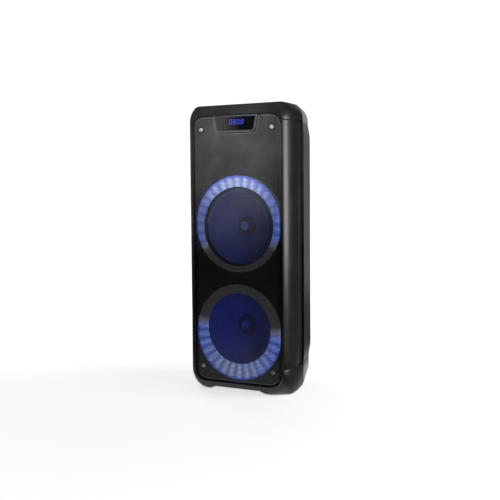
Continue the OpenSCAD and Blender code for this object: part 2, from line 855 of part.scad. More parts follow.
module usb_socket() {
    color(steel) difference() {
        block(usb_x - 6.6, usb_x + 6.6, 228, 242.8, jack_z - 3.2, jack_z + 3.2);
        block(usb_x - 6, usb_x + 6, 230, 250, jack_z - 2.4, jack_z + 2.4);
    }
    color([0.9, 0.9, 0.9]) block(usb_x - 5.5, usb_x + 5.5, 230.01, 241.5, jack_z + 0.3, jack_z + 2.1);
}

// A two pin appliance inlet
module mains_inlet() {
    color([0.05, 0.05, 0.05]) difference() {
        union() {
            block(inlet_x - 14, inlet_x + 14, 222, 243.2, inlet_z - 10, inlet_z + 10);
            facing_back(inlet_z, back_y + skin + 0.1, inlet_x) rounded_plate(33, 25, 2, 3);
        }
        translate([inlet_x, 0, inlet_z]) upright(228, 30) rounded(21, 13, 6);
    }
    color(steel) for (x = [-4.3, 4.3]) rod_y(inlet_x + x, inlet_z, 1.2, 228.01, 239);
}

switch_pivot_y = back_y - 1;

// The power switch's rocker and its two stub pins
module power_switch() {
    color([0.06, 0.06, 0.06]) translate([switch_x, switch_pivot_y, switch_z]) rotate([0, 90, 0]) {
        translate([0, 0, -6.6]) linear_extrude(13.2)
            polygon([[-9.6, 3.4], [0, 2.2], [9.6, 5.6], [8.2, -3], [0, -5], [-8.2, -3]]);
        translate([0, 0, -8.2]) cylinder(h = 16.4, r = 1.5, $fn = 48);
    }
}

module bass_port() {
    color([0.04, 0.04, 0.04]) facing_back(port_z, back_y - 110) {
        tube(110, port_r + 2, port_r - 0.5);
        translate([0, 0, 110.05]) rotate_extrude() polygon([
            [port_r - 0.5, -0.1], [port_r + 2, -0.1], [port_r + 2, 0], [port_r + 9, 0],
            [port_r + 9, 1], [port_r + 6, 2.2], [port_r + 2, 2.2], [port_r - 0.5, -0.1]
        ]);
    }
}

// A moulded pocket for the fingers, with a bar across its top edge to lift by
module handle_cup() {
    pocket_w = handle_w - 15;
    pocket_h = handle_h - 15;
    color(plastic) difference() {
        union() {
            facing_back(handle_z, back_y + 0.05) rounded_plate(handle_w, handle_h, skin, 16);
            facing_back(handle_z, back_y - 34) rounded_plate(pocket_w, pocket_h, 34.1, 12);
        }
        facing_back(handle_z, back_y - 31) rounded_plate(pocket_w - 6, pocket_h - 6, 60, 9);
        at_handle_screws() translate([0, 0, -10]) cylinder(h = 20, r = 2, $fn = 24);
    }
}

module housing_screws() {
    color([0.15, 0.15, 0.16]) {
        at_cap_screws() translate([0, 0, -0.15]) pan_screw(3.4, 1.6, 1.5, 6);
        at_handle_screws() translate([0, 0, 0.08]) pan_screw(3.4, 1.6, 1.5, 9);
        at_io_screws() translate([0, 0, 0.08]) pan_screw(3.2, 1.6, 1.5, 9);
    }
}

// ---------------------------------------------------------------- electronics

amp_z = 480;
board_back_y = 213.65;                       // back of the two boards on the rear wall
wall_gap = body_d - wall - board_back_y - 0.05; // length of their pillars

module amplifier_board() {
    color(board_green) block(-62, 62, 212, 213.6, amp_z - 45, amp_z + 45);
    color([0.1, 0.1, 0.1]) {
        for (x = [-44, -22, 22, 44]) facing_front(amp_z + 26, 211.95, x) cylinder(h = 24, r = 8, $fn = 48);
        for (x = [-36, 0, 36]) block(x - 8, x + 8, 207, 211.95, amp_z - 32, amp_z - 20);
    }
    color(steel) for (x = [-1, 1], z = [-1, 1]) facing_back(amp_z + z * 40, board_back_y, x * 56)
        tube(wall_gap, 4, 1.6);
}

module heat_sink() {
    color([0.55, 0.56, 0.58]) {
        block(-50, 50, 203.8, 206.9, amp_z - 36, amp_z - 16);
        for (i = [0:11]) block(-49.5 + i * 8.9, -48.4 + i * 8.9, 184, 203.9, amp_z - 36, amp_z - 16);
    }
}

supply_z = 376;

module power_supply() {
    color([0.6, 0.5, 0.25]) block(-48, 48, 212, 213.6, supply_z - 38, supply_z + 38);
    color([0.1, 0.1, 0.12]) block(-24, 10, 182, 211.95, supply_z - 16, supply_z + 18);
    color([0.1, 0.1, 0.1]) facing_front(supply_z + 22, 211.95, 30) cylinder(h = 30, r = 11, $fn = 48);
    color(steel) for (x = [-1, 1], z = [-1, 1]) facing_back(supply_z + z * 33, board_back_y, x * 42)
        tube(wall_gap, 4, 1.6);
}

battery_z = foot_h + wall + 1.5;

module battery_pack() {
    color([0.1, 0.2, 0.35]) block(-75, 75, 124, 190, battery_z, battery_z + 48);
    color(steel) for (x = [-82, 78.2]) {
        block(x, x + 3.8, 145, 169, battery_z, battery_z + 48.2);
    }
    color(steel) block(-82, 82, 145, 169, battery_z + 48.25, battery_z + 50);
}

// A round cable through the given points, slightly thicker where it bends
module cable(points, r) {
    for (i = [0:len(points) - 2]) {
        a = points[i];
        d = points[i + 1] - a;
        translate(a) {
            if (i > 0) sphere(r + 0.15, $fn = 32);
            rotate([0, acos(d[2] / norm(d)), atan2(d[1], d[0])]) cylinder(h = norm(d), r = r, $fn = 24);
        }
    }
}

// From the amplifier board to each woofer's frame
module speaker_cables() {
    color([0.4, 0.05, 0.05]) {
        cable([[-58, 209.5, 470], [-58, 150, 470], [-84, 48, 462]], 2);
        cable([[-58, 209.5, 445], [-58, 150, 445], [-92, 120, 330], [-84, 48, 210]], 2);
    }
}

// ---------------------------------------------------------------- nodes

place() front_housing();
place() rear_housing();
place() top_cap();
place() base_cap();
place() rubber_feet();
place() front_grille();
place() grille_screws();
place() display_bezel();
place() display_window();
place() display_module();
place() display_digits();
place() light_ring_upper();
place() light_ring_lower();
place() led_board_upper();
place() led_board_lower();
place() at_upper() woofer_frame();  // woofer_frame_upper
place() at_lower() woofer_frame();  // woofer_frame_lower
place() at_upper() woofer_gasket();  // woofer_gasket_upper
place() at_lower() woofer_gasket();  // woofer_gasket_lower
place() at_upper() woofer_plate();  // woofer_plate_upper
place() at_lower() woofer_plate();  // woofer_plate_lower
place() at_upper() woofer_magnet();  // woofer_magnet_upper
place() at_lower() woofer_magnet();  // woofer_magnet_lower
place() at_upper() woofer_yoke();  // woofer_yoke_upper
place() at_lower() woofer_yoke();  // woofer_yoke_lower
place() at_upper() woofer_cone();  // woofer_cone_upper
place() at_lower() woofer_cone();  // woofer_cone_lower
place() at_upper() dust_cap();  // dust_cap_upper
place() at_lower() dust_cap();  // dust_cap_lower
place() at_upper() voice_coil();  // voice_coil_upper
place() at_lower() voice_coil();  // voice_coil_lower
place() at_upper() surround();  // surround_upper
place() at_lower() surround();  // surround_lower
place() at_upper() spider();  // spider_upper
place() at_lower() spider();  // spider_lower
place() woofer_screws();
place() control_panel();
place() control_board();
place() volume_knob();
place() mic_knob();
place() echo_knob();
place() button_mode();
place() button_previous();
place() button_play();
place() button_next();
place() button_light();
place() button_record();
place() rear_panel();
place() audio_sockets();
place() usb_socket();
place() mains_inlet();
place() power_switch();
place() amplifier_board();
place() heat_sink();
place() power_supply();
place() battery_pack();
place() bass_port();
place() speaker_cables();
place() handle_cup();
place() housing_screws();
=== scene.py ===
import math

import bmesh
import bpy
import numpy as np
from mathutils import Matrix, Vector


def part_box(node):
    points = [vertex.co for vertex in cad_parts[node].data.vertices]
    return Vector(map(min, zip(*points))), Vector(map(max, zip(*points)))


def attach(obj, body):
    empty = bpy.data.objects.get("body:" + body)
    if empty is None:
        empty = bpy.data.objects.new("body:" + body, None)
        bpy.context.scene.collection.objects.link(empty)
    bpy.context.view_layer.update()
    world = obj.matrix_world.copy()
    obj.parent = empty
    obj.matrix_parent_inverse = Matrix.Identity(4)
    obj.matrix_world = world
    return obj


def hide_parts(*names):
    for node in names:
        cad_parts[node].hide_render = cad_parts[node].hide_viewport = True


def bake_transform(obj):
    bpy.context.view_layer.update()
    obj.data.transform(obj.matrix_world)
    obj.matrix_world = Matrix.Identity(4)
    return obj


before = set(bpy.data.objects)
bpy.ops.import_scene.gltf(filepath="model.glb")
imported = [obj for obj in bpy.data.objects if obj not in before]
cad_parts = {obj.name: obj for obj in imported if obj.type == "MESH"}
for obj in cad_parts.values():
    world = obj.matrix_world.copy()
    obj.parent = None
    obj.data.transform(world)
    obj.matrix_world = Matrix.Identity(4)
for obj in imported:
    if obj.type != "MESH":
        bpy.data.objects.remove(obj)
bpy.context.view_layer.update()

# ---------------------------------------------------------------- frame
# Shapes are drawn in cabinet millimetres: x across, y the depth behind the
# front face, z up from the floor. to_frame() turns them into the row's metres.

cap_low, cap_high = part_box("top_cap")
base_low, base_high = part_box("base_cap")
FRONT_Y = cap_low.y
WIDTH = (cap_high.x - cap_low.x) * 1000
HEIGHT = cap_high.z * 1000
CAP_SEAM = cap_low.z * 1000
SEAM_GAP = 0.12                       # left open between the caps and the shells
SAME_HEIGHT = 0.02                    # edges this close to a seam belong to it
BASE_SEAM = base_high.z * 1000
FOOT_H = base_low.z * 1000


def to_frame(points):
    """Cabinet millimetres to the row's metres."""
    p = np.asarray(points, float).reshape(-1, 3) / 1000
    p[:, 1] += FRONT_Y
    return p


def node_mm(node):
    """A CAD node's box in cabinet millimetres, as two arrays."""
    low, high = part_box(node)
    return [np.array([v.x, v.y - FRONT_Y, v.z]) * 1000 for v in (low, high)]


def node_mid(node):
    low, high = node_mm(node)
    return (low + high) / 2


# ---------------------------------------------------------------- material nodes


class Graph:
    """Builds one node material."""

    def __init__(self, name):
        self.material = bpy.data.materials.new(name)
        self.material.use_nodes = True
        self.tree = self.material.node_tree
        self.tree.nodes.clear()
        self.output = self.tree.nodes.new("ShaderNodeOutputMaterial")

    def node(self, kind, inputs=None, **settings):
        """A node with its inputs set to values, sockets or other nodes."""
        n = self.tree.nodes.new("ShaderNode" + kind)
        for key, value in settings.items():
            setattr(n, key, value)
        for key, value in (inputs or {}).items():
            self.put(n.inputs[key], value)
        return n

    def put(self, socket, value):
        if isinstance(value, bpy.types.NodeSocket):
            self.tree.links.new(value, socket)
        elif isinstance(value, bpy.types.Node):
            self.tree.links.new(value.outputs[0], socket)
        else:
            socket.default_value = value

    def math(self, operation, a, b=0.0, c=0.0):
        n = self.tree.nodes.new("ShaderNodeMath")
        n.operation = operation
        for socket, value in zip(n.inputs, (a, b, c)):
            self.put(socket, value)
        return n.outputs[0]

    def ramp(self, value, low, high):
        """0 at low, 1 at high, eased between."""
        n = self.node("MapRange", {"Value": value, "From Min": low, "From Max": high})
        n.interpolation_type = "SMOOTHSTEP"
        return n.outputs[0]

    def mix(self, factor, a, b):
        n = self.tree.nodes.new("ShaderNodeMix")
        n.data_type = "RGBA"
        self.put(n.inputs[0], factor)
        self.put(n.inputs[6], rgba(a))
        self.put(n.inputs[7], rgba(b))
        return n.outputs[2]

    def place(self):
        """The point being shaded, in the row's metres."""
        return self.node("TexCoord").outputs["Object"]

    def axes(self, vector=None):
        """The x, y and z of a vector, or of the point being shaded."""
        return self.node("SeparateXYZ", {"Vector": vector or self.place()}).outputs

    def facing_front(self, low, high):
        """0 to 1 as the surface turns towards the front, so that the back of a part stays dark."""
        return self.ramp(self.axes(self.node("NewGeometry").outputs["Normal"])[1], low, high)

    def noise(self, scale, detail=2.0, roughness=0.5, stretch=(1, 1, 1)):
        spot = self.node("Mapping", {"Vector": self.place(), "Scale": stretch})
        inputs = {"Vector": spot, "Scale": scale, "Detail": detail, "Roughness": roughness}
        return self.node("TexNoise", inputs).outputs[0]

    def bump(self, height, distance, strength):
        return self.node("Bump", {"Height": height, "Distance": distance, "Strength": strength}).outputs[0]

    def surface(self, shader):
        self.put(self.output.inputs["Surface"], shader)
        return self.material

    def principled(self, **inputs):
        names = {
            "color": "Base Color", "metal": "Metallic", "rough": "Roughness", "normal": "Normal",
            "coat": "Coat Weight", "coat_rough": "Coat Roughness", "glow": "Emission Color",
            "glow_power": "Emission Strength", "specular": "Specular IOR Level", "sheen": "Sheen Weight",
        }
        shader = self.node("BsdfPrincipled")
        for key, value in inputs.items():
            self.put(shader.inputs[names[key]], rgba(value) if key in ("color", "glow") else value)
        return shader


def rgba(value):
    return (*value, 1.0) if isinstance(value, tuple) and len(value) == 3 else value


def grained(name, color, rough, grain_mm=0.9, grain_depth=0.02, metal=0.0, spread=0.25, **extra):
    """Moulded plastic or painted metal: fine grain, cloudy gloss and a little colour drift."""
    g = Graph(name)
    grain = g.noise(1000 / grain_mm, detail=3)
    cloud = g.noise(14, detail=3)
    tone = g.ramp(cloud, 0.3, 0.7)
    dark = tuple(c * (1 - spread) for c in color)
    light = tuple(c * (1 + spread) for c in color)
    shade = g.mix(tone, dark, light)
    roughness = g.math("ADD", rough - 0.05, g.math("MULTIPLY", cloud, 0.1))
    normal = g.bump(grain, grain_depth / 1000, 0.6)
    return g.surface(g.principled(color=shade, rough=roughness, normal=normal, metal=metal, **extra))


def polished(name, color, rough=0.08, **extra):
    """Gloss plastic with faint swirls and a trace of dust."""
    g = Graph(name)
    swirl = g.noise(60, detail=4, stretch=(1, 4, 1))
    dust = g.ramp(g.noise(900, detail=1), 0.66, 0.74)
    shade = g.mix(dust, color, tuple(min(1, c * 1.6 + 0.01) for c in color))
    roughness = g.math("MULTIPLY_ADD", swirl, 0.08, rough)
    normal = g.bump(swirl, 0.00002, 0.4)
    return g.surface(g.principled(color=shade, rough=roughness, normal=normal, coat=0.4, **extra))


def machined(name, color, rough=0.28, **extra):
    """Plated or bare metal with fine turning lines."""
    g = Graph(name)
    lines = g.noise(900, detail=2, stretch=(1, 1, 9))
    shade = g.mix(lines, tuple(c * 0.8 for c in color), color)
    roughness = g.math("MULTIPLY_ADD", lines, 0.16, rough)
    normal = g.bump(lines, 0.00002, 0.5)
    return g.surface(g.principled(color=shade, rough=roughness, normal=normal, metal=1.0, **extra))


def circuit(name, mask, copper):
    """Solder mask with a grid of tracks, and bright pads."""
    g = Graph(name)
    spot = g.node("Mapping", {"Vector": g.place(), "Scale": (1, 1, 1)})
    bricks = g.node("TexBrick", {
        "Vector": spot, "Color1": rgba(mask), "Color2": rgba(tuple(c * 0.8 for c in mask)),
        "Mortar": rgba(copper), "Scale": 160.0, "Mortar Size": 0.02})
    pads = g.ramp(g.node("TexVoronoi", {"Vector": spot, "Scale": 240.0}).outputs[0], 0.16, 0.2)
    shade = g.mix(pads, (0.72, 0.68, 0.55), bricks.outputs[0])
    return g.surface(g.principled(color=shade, rough=0.35, normal=g.bump(pads, 0.0001, 0.3)))


# ---------------------------------------------------------------- mesh tools


def solid(name, points, faces):
    """A new object from points in cabinet millimetres."""
    mesh = bpy.data.meshes.new(name)
    mesh.from_pydata(to_frame(points).tolist(), [], [list(map(int, f)) for f in faces])
    clean(mesh)
    obj = bpy.data.objects.new(name, mesh)
    bpy.context.scene.collection.objects.link(obj)
    return obj


def piece(name, points, faces, material, body="cabinet", slot=None, angle=32, stands_for=(), ride=True):
    """A shown object, riding on a CAD body unless more is cut from it first."""
    obj = solid(name, points, faces)
    obj.data.materials.append(material)
    smooth(obj, angle)
    if ride:
        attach(obj, body)
    if stands_for:
        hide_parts(*stands_for)
    return obj


def clean(mesh, merge=1e-7):
    """Merges double points, drops slivers and turns every face outwards."""
    bm = bmesh.new()
    bm.from_mesh(mesh)
    bmesh.ops.remove_doubles(bm, verts=bm.verts, dist=merge)
    bmesh.ops.dissolve_degenerate(bm, edges=bm.edges, dist=1e-8)
    bmesh.ops.recalc_face_normals(bm, faces=bm.faces)
    bm.to_mesh(mesh)
    bm.free()
    mesh.validate()


def smooth(obj, angle):
    obj.data.polygons.foreach_set("use_smooth", [True] * len(obj.data.polygons))
    obj.data.set_sharp_from_angle(angle=math.radians(angle))


def finish(obj, angle):
    """The last step for an object that was cut: smooth shading, then onto the cabinet."""
    smooth(obj, angle)
    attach(obj, "cabinet")


def bake(obj):
    """Applies an object's modifiers to its mesh."""
    bpy.context.view_layer.update()
    done = bpy.data.meshes.new_from_object(obj.evaluated_get(bpy.context.evaluated_depsgraph_get()))
    obj.modifiers.clear()
    obj.data = done


def boolean(obj, shape, operation="DIFFERENCE"):
    """Cuts a shape, as (points, faces) or an object, from obj, or joins or intersects it."""
    tool = shape if isinstance(shape, bpy.types.Object) else solid("tool", *shape)
    m = obj.modifiers.new("cut", "BOOLEAN")
    m.operation = operation
    m.solver = "EXACT"
    m.object = tool
    bake(obj)
    bpy.data.objects.remove(tool)


def band(n, k, m):
    """The faces between loop k and loop m, of n points each."""
    return [(k * n + i, k * n + (i + 1) % n, m * n + (i + 1) % n, m * n + i) for i in range(n)]


def loft(loops):
    """A solid through equal closed loops of points, with flat ends."""
    n, last = len(loops[0]), len(loops) - 1
    faces = [face for k in range(last) for face in band(n, k, k + 1)]
    faces += [tuple(range(n))[::-1], tuple(range(last * n, last * n + n))]
    return np.concatenate([np.asarray(loop, float) for loop in loops]), faces


def ring_loft(loops):
    """The same without ends: the last loop joins the first."""
    n, count = len(loops[0]), len(loops)
    faces = [face for k in range(count) for face in band(n, k, (k + 1) % count)]
    return np.concatenate([np.asarray(loop, float) for loop in loops]), faces


FORWARD, BACKWARD = (0, -1, 0), (0, 1, 0)


def turns(n):
    """n angles round a full circle."""
    return np.linspace(0, 2 * math.pi, n, endpoint=False)


def lathe(profile, centre, axis, steps=128):
    """Turns (radius, height) points about an axis through centre; height runs along axis."""
    axis = np.asarray(axis, float)
    side = np.cross(axis, [0.0, 0.0, 1.0] if abs(axis[2]) < 0.9 else [1.0, 0.0, 0.0])
    side /= np.linalg.norm(side)
    other = np.cross(axis, side)
    profile = np.asarray(profile, float)
    rings = []
    for k in range(steps):
        a = 2 * math.pi * k / steps
        out = side * math.cos(a) + other * math.sin(a)
        rings.append(np.asarray(centre) + profile[:, :1] * out + profile[:, 1:] * axis)
    return ring_loft(rings)


def join(parts):
    points, faces, base = [], [], 0
    for p, f in parts:
        points.append(np.asarray(p, float).reshape(-1, 3))
        faces += [tuple(base + i for i in face) for face in f]
        base += len(points[-1])
    return np.concatenate(points), faces


def slab(x0, x1, y0, y1, z0, z1):
    """A plain box, used only to cut with or as a small inner detail."""
    corners = [(x, y, z) for z in (z0, z1) for x, y in ((x0, y0), (x1, y0), (x1, y1), (x0, y1))]
    sides = [(0, 1, 5, 4), (1, 2, 6, 5), (2, 3, 7, 6), (3, 0, 4, 7)]
    return np.array(corners, float), [(3, 2, 1, 0), (4, 5, 6, 7)] + sides


def round_row(x, z, angles, r, y):
    """Points round the depth axis; r and y are numbers, or one for each angle."""
    depth = y + np.zeros(len(angles))
    return np.column_stack([x + r * np.cos(angles), depth, z + r * np.sin(angles)])


def drum(x, z, r, y0, y1, steps=96):
    """A cylinder along the depth axis, to cut with."""
    return loft([round_row(x, z, turns(steps), r, y) for y in (y0, y1)])


def level(plan, z):
    """Lays a plan at height z."""
    return np.column_stack([plan, np.full(len(plan), z)])


def prism(plan, z0, z1):
    """An upright solid from its plan."""
    return loft([level(plan, z) for z in (z0, z1)])


def disc(x, y, r, steps):
    """The plan of a round stem or hole."""
    return [(x + r * math.cos(a), y + r * math.sin(a)) for a in turns(steps)]


def stick(x, y, angle, r0, r1, half):
    """The plan of a thin radial line, from r0 to r1 out of (x, y), with half its width to each side."""
    c, s = math.cos(angle), math.sin(angle)
    return [(x + r * c + side * s, y + r * s - side * c)
            for r, side in ((r0, half), (r1, half), (r1, -half), (r0, -half))]


def rounded_loop(w, h, r, steps=8):
    """A rectangle with round corners about the origin, anticlockwise."""
    pts = []
    for cx, cy, a0 in ((1, 1, 0), (-1, 1, 90), (-1, -1, 180), (1, -1, 270)):
        for k in range(steps + 1):
            a = math.radians(a0 + 90 * k / steps)
            pts.append((cx * (w / 2 - r) + r * math.cos(a), cy * (h / 2 - r) + r * math.sin(a)))
    return np.array(pts)


def plate(w, h, r, layers, centre, face="up", steps=8):
    """A round-cornered plate from (height, inset) layers; face is up, front or back."""
    loops = []
    for height, inset in layers:
        loop = rounded_loop(w - 2 * inset, h - 2 * inset, max(r - inset, 0.05), steps)
        zeros = np.full(len(loop), height)
        if face == "up":
            p = np.column_stack([loop[:, 0], loop[:, 1], zeros])
        elif face == "front":
            p = np.column_stack([loop[:, 0], -zeros, loop[:, 1]])
        else:
            p = np.column_stack([-loop[:, 0], zeros, loop[:, 1]])
        loops.append(p + np.asarray(centre, float))
    return loft(loops)


# ---------------------------------------------------------------- the cabinet's outer shape

ROLL_D, ROLL_IN = 40.0, 11.5          # how deep and how far in the sides roll round to the front
BOTTOM_D, BOTTOM_IN = 16.0, 8.0       # the same for the bottom edge
TOP_D, TOP_IN = 30.0, 11.0            # and for the top edge
REAR_ROLL_Y, REAR_Z_IN, REAR_R = 208.0, 10.0, 30.0    # where the back rounds over, how far, and its corners
FRONT_D = 67.0                        # the front housing's side ends here
SHELL_Y = 105.0                       # the rear housing's full shell begins here
SIDE_SLOPE = 0.35                     # how much the side narrows for each mm of depth behind that
SHELL_GROW = 5.6                      # how far the rear shell stands proud of the caps
COLLAR_IN = 4.0                       # depth of the groove between the two housings
WALL = 3.2
TOP_R, TOP_TURN = 44.0, 55.0         # the upper corners, seen from the front: radius and how far they turn
BODY_D = 240.0
PANEL_Y, PANEL_T = 29.0, 5.0          # baffle panel's front face and thickness
OPEN_HW, OPEN_Z0, OPEN_Z1 = 126.5, 22.5, HEIGHT - 28  # the front opening
BEVEL_D, BEVEL_IN = 12.0, 4.0         # the bevel inside it
RECESS_HW = 121.0                     # the recess behind that
SIDE_NORM = math.sqrt(1 + SIDE_SLOPE ** 2)


def side_x(y):
    return WIDTH / 2 - 5 - SIDE_SLOPE * (y - SHELL_Y)


REAR_CY = BODY_D - REAR_R
REAR_CX = side_x(REAR_CY) - REAR_R * SIDE_NORM
REAR_TURN = REAR_CY + REAR_R * SIDE_SLOPE / SIDE_NORM


def ease(t):
    return 0.0 if t >= 1 else 1 - math.sqrt(max(0.0, 1 - (1 - t) ** 2))


def half_width(y):
    if y < ROLL_D:
        return WIDTH / 2 - ROLL_IN * ease(y / ROLL_D)
    if y <= SHELL_Y:
        return float(np.interp(y, [ROLL_D, FRONT_D, SHELL_Y], [WIDTH / 2, WIDTH / 2 - 1, WIDTH / 2 - 5]))
    if y <= REAR_TURN:
        return side_x(y)
    return REAR_CX + math.sqrt(max(0.0, REAR_R ** 2 - (y - REAR_CY) ** 2))


def low_edge(y):
    return FOOT_H + BOTTOM_IN * ease(y / BOTTOM_D) + REAR_Z_IN * ease((BODY_D - y) / (BODY_D - REAR_ROLL_Y))


def high_edge(y):
    return HEIGHT - TOP_IN * ease(y / TOP_D) - REAR_Z_IN * ease((BODY_D - y) / (BODY_D - REAR_ROLL_Y))


def low_corner(y):
    near = [y + k for k in (-5, -3, -1, 1, 3, 5)]
    return float(np.mean(np.interp(near, [0, 14, 40, 67, 105, 208, 240], [50, 43, 11, 14, 22, 40, 38])))


def arc(cx, cy, r, a0, a1, n):
    return [(cx + r * math.cos(math.radians(a0 + (a1 - a0) * i / n)),
             cy + r * math.sin(math.radians(a0 + (a1 - a0) * i / n))) for i in range(n + 1)]


def outline(hw, z0, z1, low_r, up_r, turn=TOP_TURN, n=12):
    """Front view outline, anticlockwise, with the kink where the upper arcs meet the top rounded off."""
    top_z = z1 - up_r * math.sin(math.radians(turn))
    right = arc(hw - low_r, z0 + low_r, low_r, -90, 0, n)
    if turn < 90:
        right += arc(hw - up_r, top_z, up_r, 0, turn - 8, n)
        start = right[-1]
        kink = (hw - up_r + up_r * math.cos(math.radians(turn)), z1)
        end = (kink[0] - up_r * math.radians(8), z1)
        for t in (0.2, 0.4, 0.6, 0.8, 1.0):
            shares = ((1 - t) ** 2, 2 * t * (1 - t), t * t)
            right.append(tuple(sum(w * p[i] for w, p in zip(shares, (start, kink, end))) for i in (0, 1)))
    else:
        right += arc(hw - up_r, top_z, up_r, 0, turn, n)
    return np.array(right + [(-x, z) for x, z in right[::-1]])


def upright(loop, y):
    """Stands a front view outline up at depth y."""
    return np.column_stack([loop[:, 0], np.full(len(loop), float(y)), loop[:, 1]])


def roll_steps():
    """Depths through the front roll, closest where it turns fastest."""
    return [ROLL_D * (1 - math.cos(math.radians(90 * k / 16))) for k in range(17)]


def envelope(inset=0.0, y0=0.0, y1=BODY_D):
    """The cabinet's outer shape, or an inner one, as a closed solid."""
    ys = roll_steps() + [48, 57, FRONT_D, 76, 86, 96, SHELL_Y, 114, 126, 140, 160, 184]
    ys += [BODY_D - (BODY_D - REAR_ROLL_Y) / ROLL_D * y for y in roll_steps()[::-1]]
    if inset:
        ys = [y0] + [y for y in ys if y0 < y < y1] + [y1]
    return loft([upright(outline(half_width(y) - inset, low_edge(y) + inset, high_edge(y) - inset,
                                 max(low_corner(y) - inset, 6), TOP_R - inset), y) for y in ys])


def opening_outline(inset):
    return outline(OPEN_HW - inset, OPEN_Z0 + inset, OPEN_Z1 - inset, 36 - inset, 30 - inset, 90, 14)


def opening():
    """The mouth the grille sits in: a small radius, a bevel, then a straight recess."""
    inset = OPEN_HW - RECESS_HW
    steps = [(-1, -1.6), (0.15, -1.0), (0.6, -0.45), (1.4, 0.0), (BEVEL_D - 1, BEVEL_IN - 0.3),
             (BEVEL_D, BEVEL_IN), (BEVEL_D + 0.01, inset), (PANEL_Y + 0.5, inset)]
    return loft([upright(opening_outline(i), y) for y, i in steps])


def opening_x(z, inset):
    """Half width of the opening at height z."""
    up_r = 30 - inset
    over = z - (OPEN_Z1 - inset - up_r)
    hw = OPEN_HW - inset
    return hw if over <= 0 else hw - up_r + math.sqrt(max(0.0, up_r ** 2 - over ** 2))


def seam_edges(obj, width_mm, *heights):
    """Rounds the edges that lie at the given heights."""
    bm = bmesh.new()
    bm.from_mesh(obj.data)
    bmesh.ops.remove_doubles(bm, verts=bm.verts, dist=2e-5)
    edges = []
    for e in bm.edges:
        if len(e.link_faces) != 2 or e.calc_face_angle(0) < math.radians(35):
            continue
        if all(min(abs(v.co.z * 1000 - z) for z in heights) < SAME_HEIGHT for v in e.verts):
            edges.append(e)
    bmesh.ops.bevel(bm, geom=edges, offset=width_mm / 1000, segments=2, affect="EDGES", profile=0.5,
                    clamp_overlap=False)
    bm.to_mesh(obj.data)
    bm.free()


# ---------------------------------------------------------------- materials

SATIN = grained("satin_plastic", (0.0065, 0.0065, 0.007), 0.3, grain_mm=0.8, grain_depth=0.008)
SATIN_REAR = grained("satin_plastic_rear", (0.009, 0.009, 0.0098), 0.42, grain_mm=1.1, grain_depth=0.025)
INNER_BLACK = grained("inner_black", (0.008, 0.008, 0.009), 0.6, grain_mm=1.4)
GLOSS = polished("gloss_plastic", (0.008, 0.008, 0.011), 0.07)
KNOB = grained("knob_plastic", (0.012, 0.012, 0.014), 0.34, grain_mm=0.5, grain_depth=0.02)
KEY = grained("key_rubber", (0.018, 0.018, 0.02), 0.45, grain_mm=0.5)
GRILLE = grained("grille_steel", (0.031, 0.031, 0.0325), 0.4, grain_mm=0.35, grain_depth=0.01, metal=0.15)
STEEL = grained("bright_steel", (0.3, 0.3, 0.305), 0.3, grain_mm=0.2, grain_depth=0.004, metal=0.55)
PLATED = machined("plated_steel", (0.55, 0.55, 0.57), 0.3)
DARK_STEEL = machined("black_steel", (0.05, 0.05, 0.055), 0.38)
BASKET = grained("basket_paint", (0.02, 0.02, 0.022), 0.42, grain_mm=0.6, metal=0.2)
FERRITE = grained("ferrite", (0.045, 0.045, 0.05), 0.7, grain_mm=0.5, grain_depth=0.05)
RUBBER = grained("rubber", (0.011, 0.011, 0.012), 0.55, grain_mm=0.6, grain_depth=0.03)
BOARD = circuit("circuit_board", (0.012, 0.09, 0.04), (0.2, 0.14, 0.04))
LED_BOARD = circuit("led_board", (0.5, 0.5, 0.5), (0.42, 0.42, 0.4))
COPPER = machined("coil_copper", (0.78, 0.36, 0.16), 0.3)
SPIDER = grained("spider_cloth", (0.42, 0.27, 0.09), 0.85, grain_mm=0.7, grain_depth=0.12, sheen=0.4)
ALUMINIUM = machined("aluminium", (0.62, 0.63, 0.65), 0.32)
BATTERY = polished("battery_sleeve", (0.02, 0.06, 0.16), 0.2)
CABLE = grained("cable_sleeve", (0.25, 0.015, 0.015), 0.4, grain_mm=0.6)

# ---------------------------------------------------------------- front housing


def rail_profile(z, inset):
    """Plan section of the right hand side rail at height z, pulled in by inset for the seam's edge."""
    outer = [(half_width(y) - inset, max(y, inset)) for y in roll_steps() + [48, 57]]
    outer[0] = (outer[0][0], inset)
    pts = [(opening_x(z, -1.0), 0.15), (opening_x(z, -1.25), 0.03)] + outer
    edge, back = half_width(FRONT_D), PANEL_Y + PANEL_T
    recess = opening_x(z, OPEN_HW - RECESS_HW)
    pts += [(half_width(FRONT_D - 1.2) - inset, FRONT_D - 1.2), (edge - 0.45 - inset, FRONT_D - 0.3),
            (edge - 1.2 - inset, FRONT_D - 0.05), (edge - WALL, FRONT_D - 0.05), (edge - WALL, back),
            (RECESS_HW, back), (recess, PANEL_Y), (recess, BEVEL_D + 0.01)]
    bevel = [(BEVEL_IN, BEVEL_D), (BEVEL_IN - 0.3, BEVEL_D - 1), (0.0, 1.4), (-0.45, 0.6)]
    return np.array(pts + [(opening_x(z, i), y) for i, y in bevel])


def build_rails():
    low, high = BASE_SEAM + SEAM_GAP, CAP_SEAM - SEAM_GAP
    levels = [(low, 0.8), (low + 0.35, 0.35), (low + 0.9, 0.0)]
    levels += [(z, 0.0) for z in np.linspace(low + 20, OPEN_Z1 - 31, 12)]
    levels += [(z, 0.0) for z in np.linspace(OPEN_Z1 - 30, high - 0.9, 6)]
    levels += [(high - 0.35, 0.35), (high, 0.8)]
    sides = [loft([level(rail_profile(z, inset) * (s, 1), z) for z, inset in levels]) for s in (1, -1)]
    piece("front_housing_rails", *join(sides), SATIN, slot="housing_plastic", stands_for=("front_housing",))


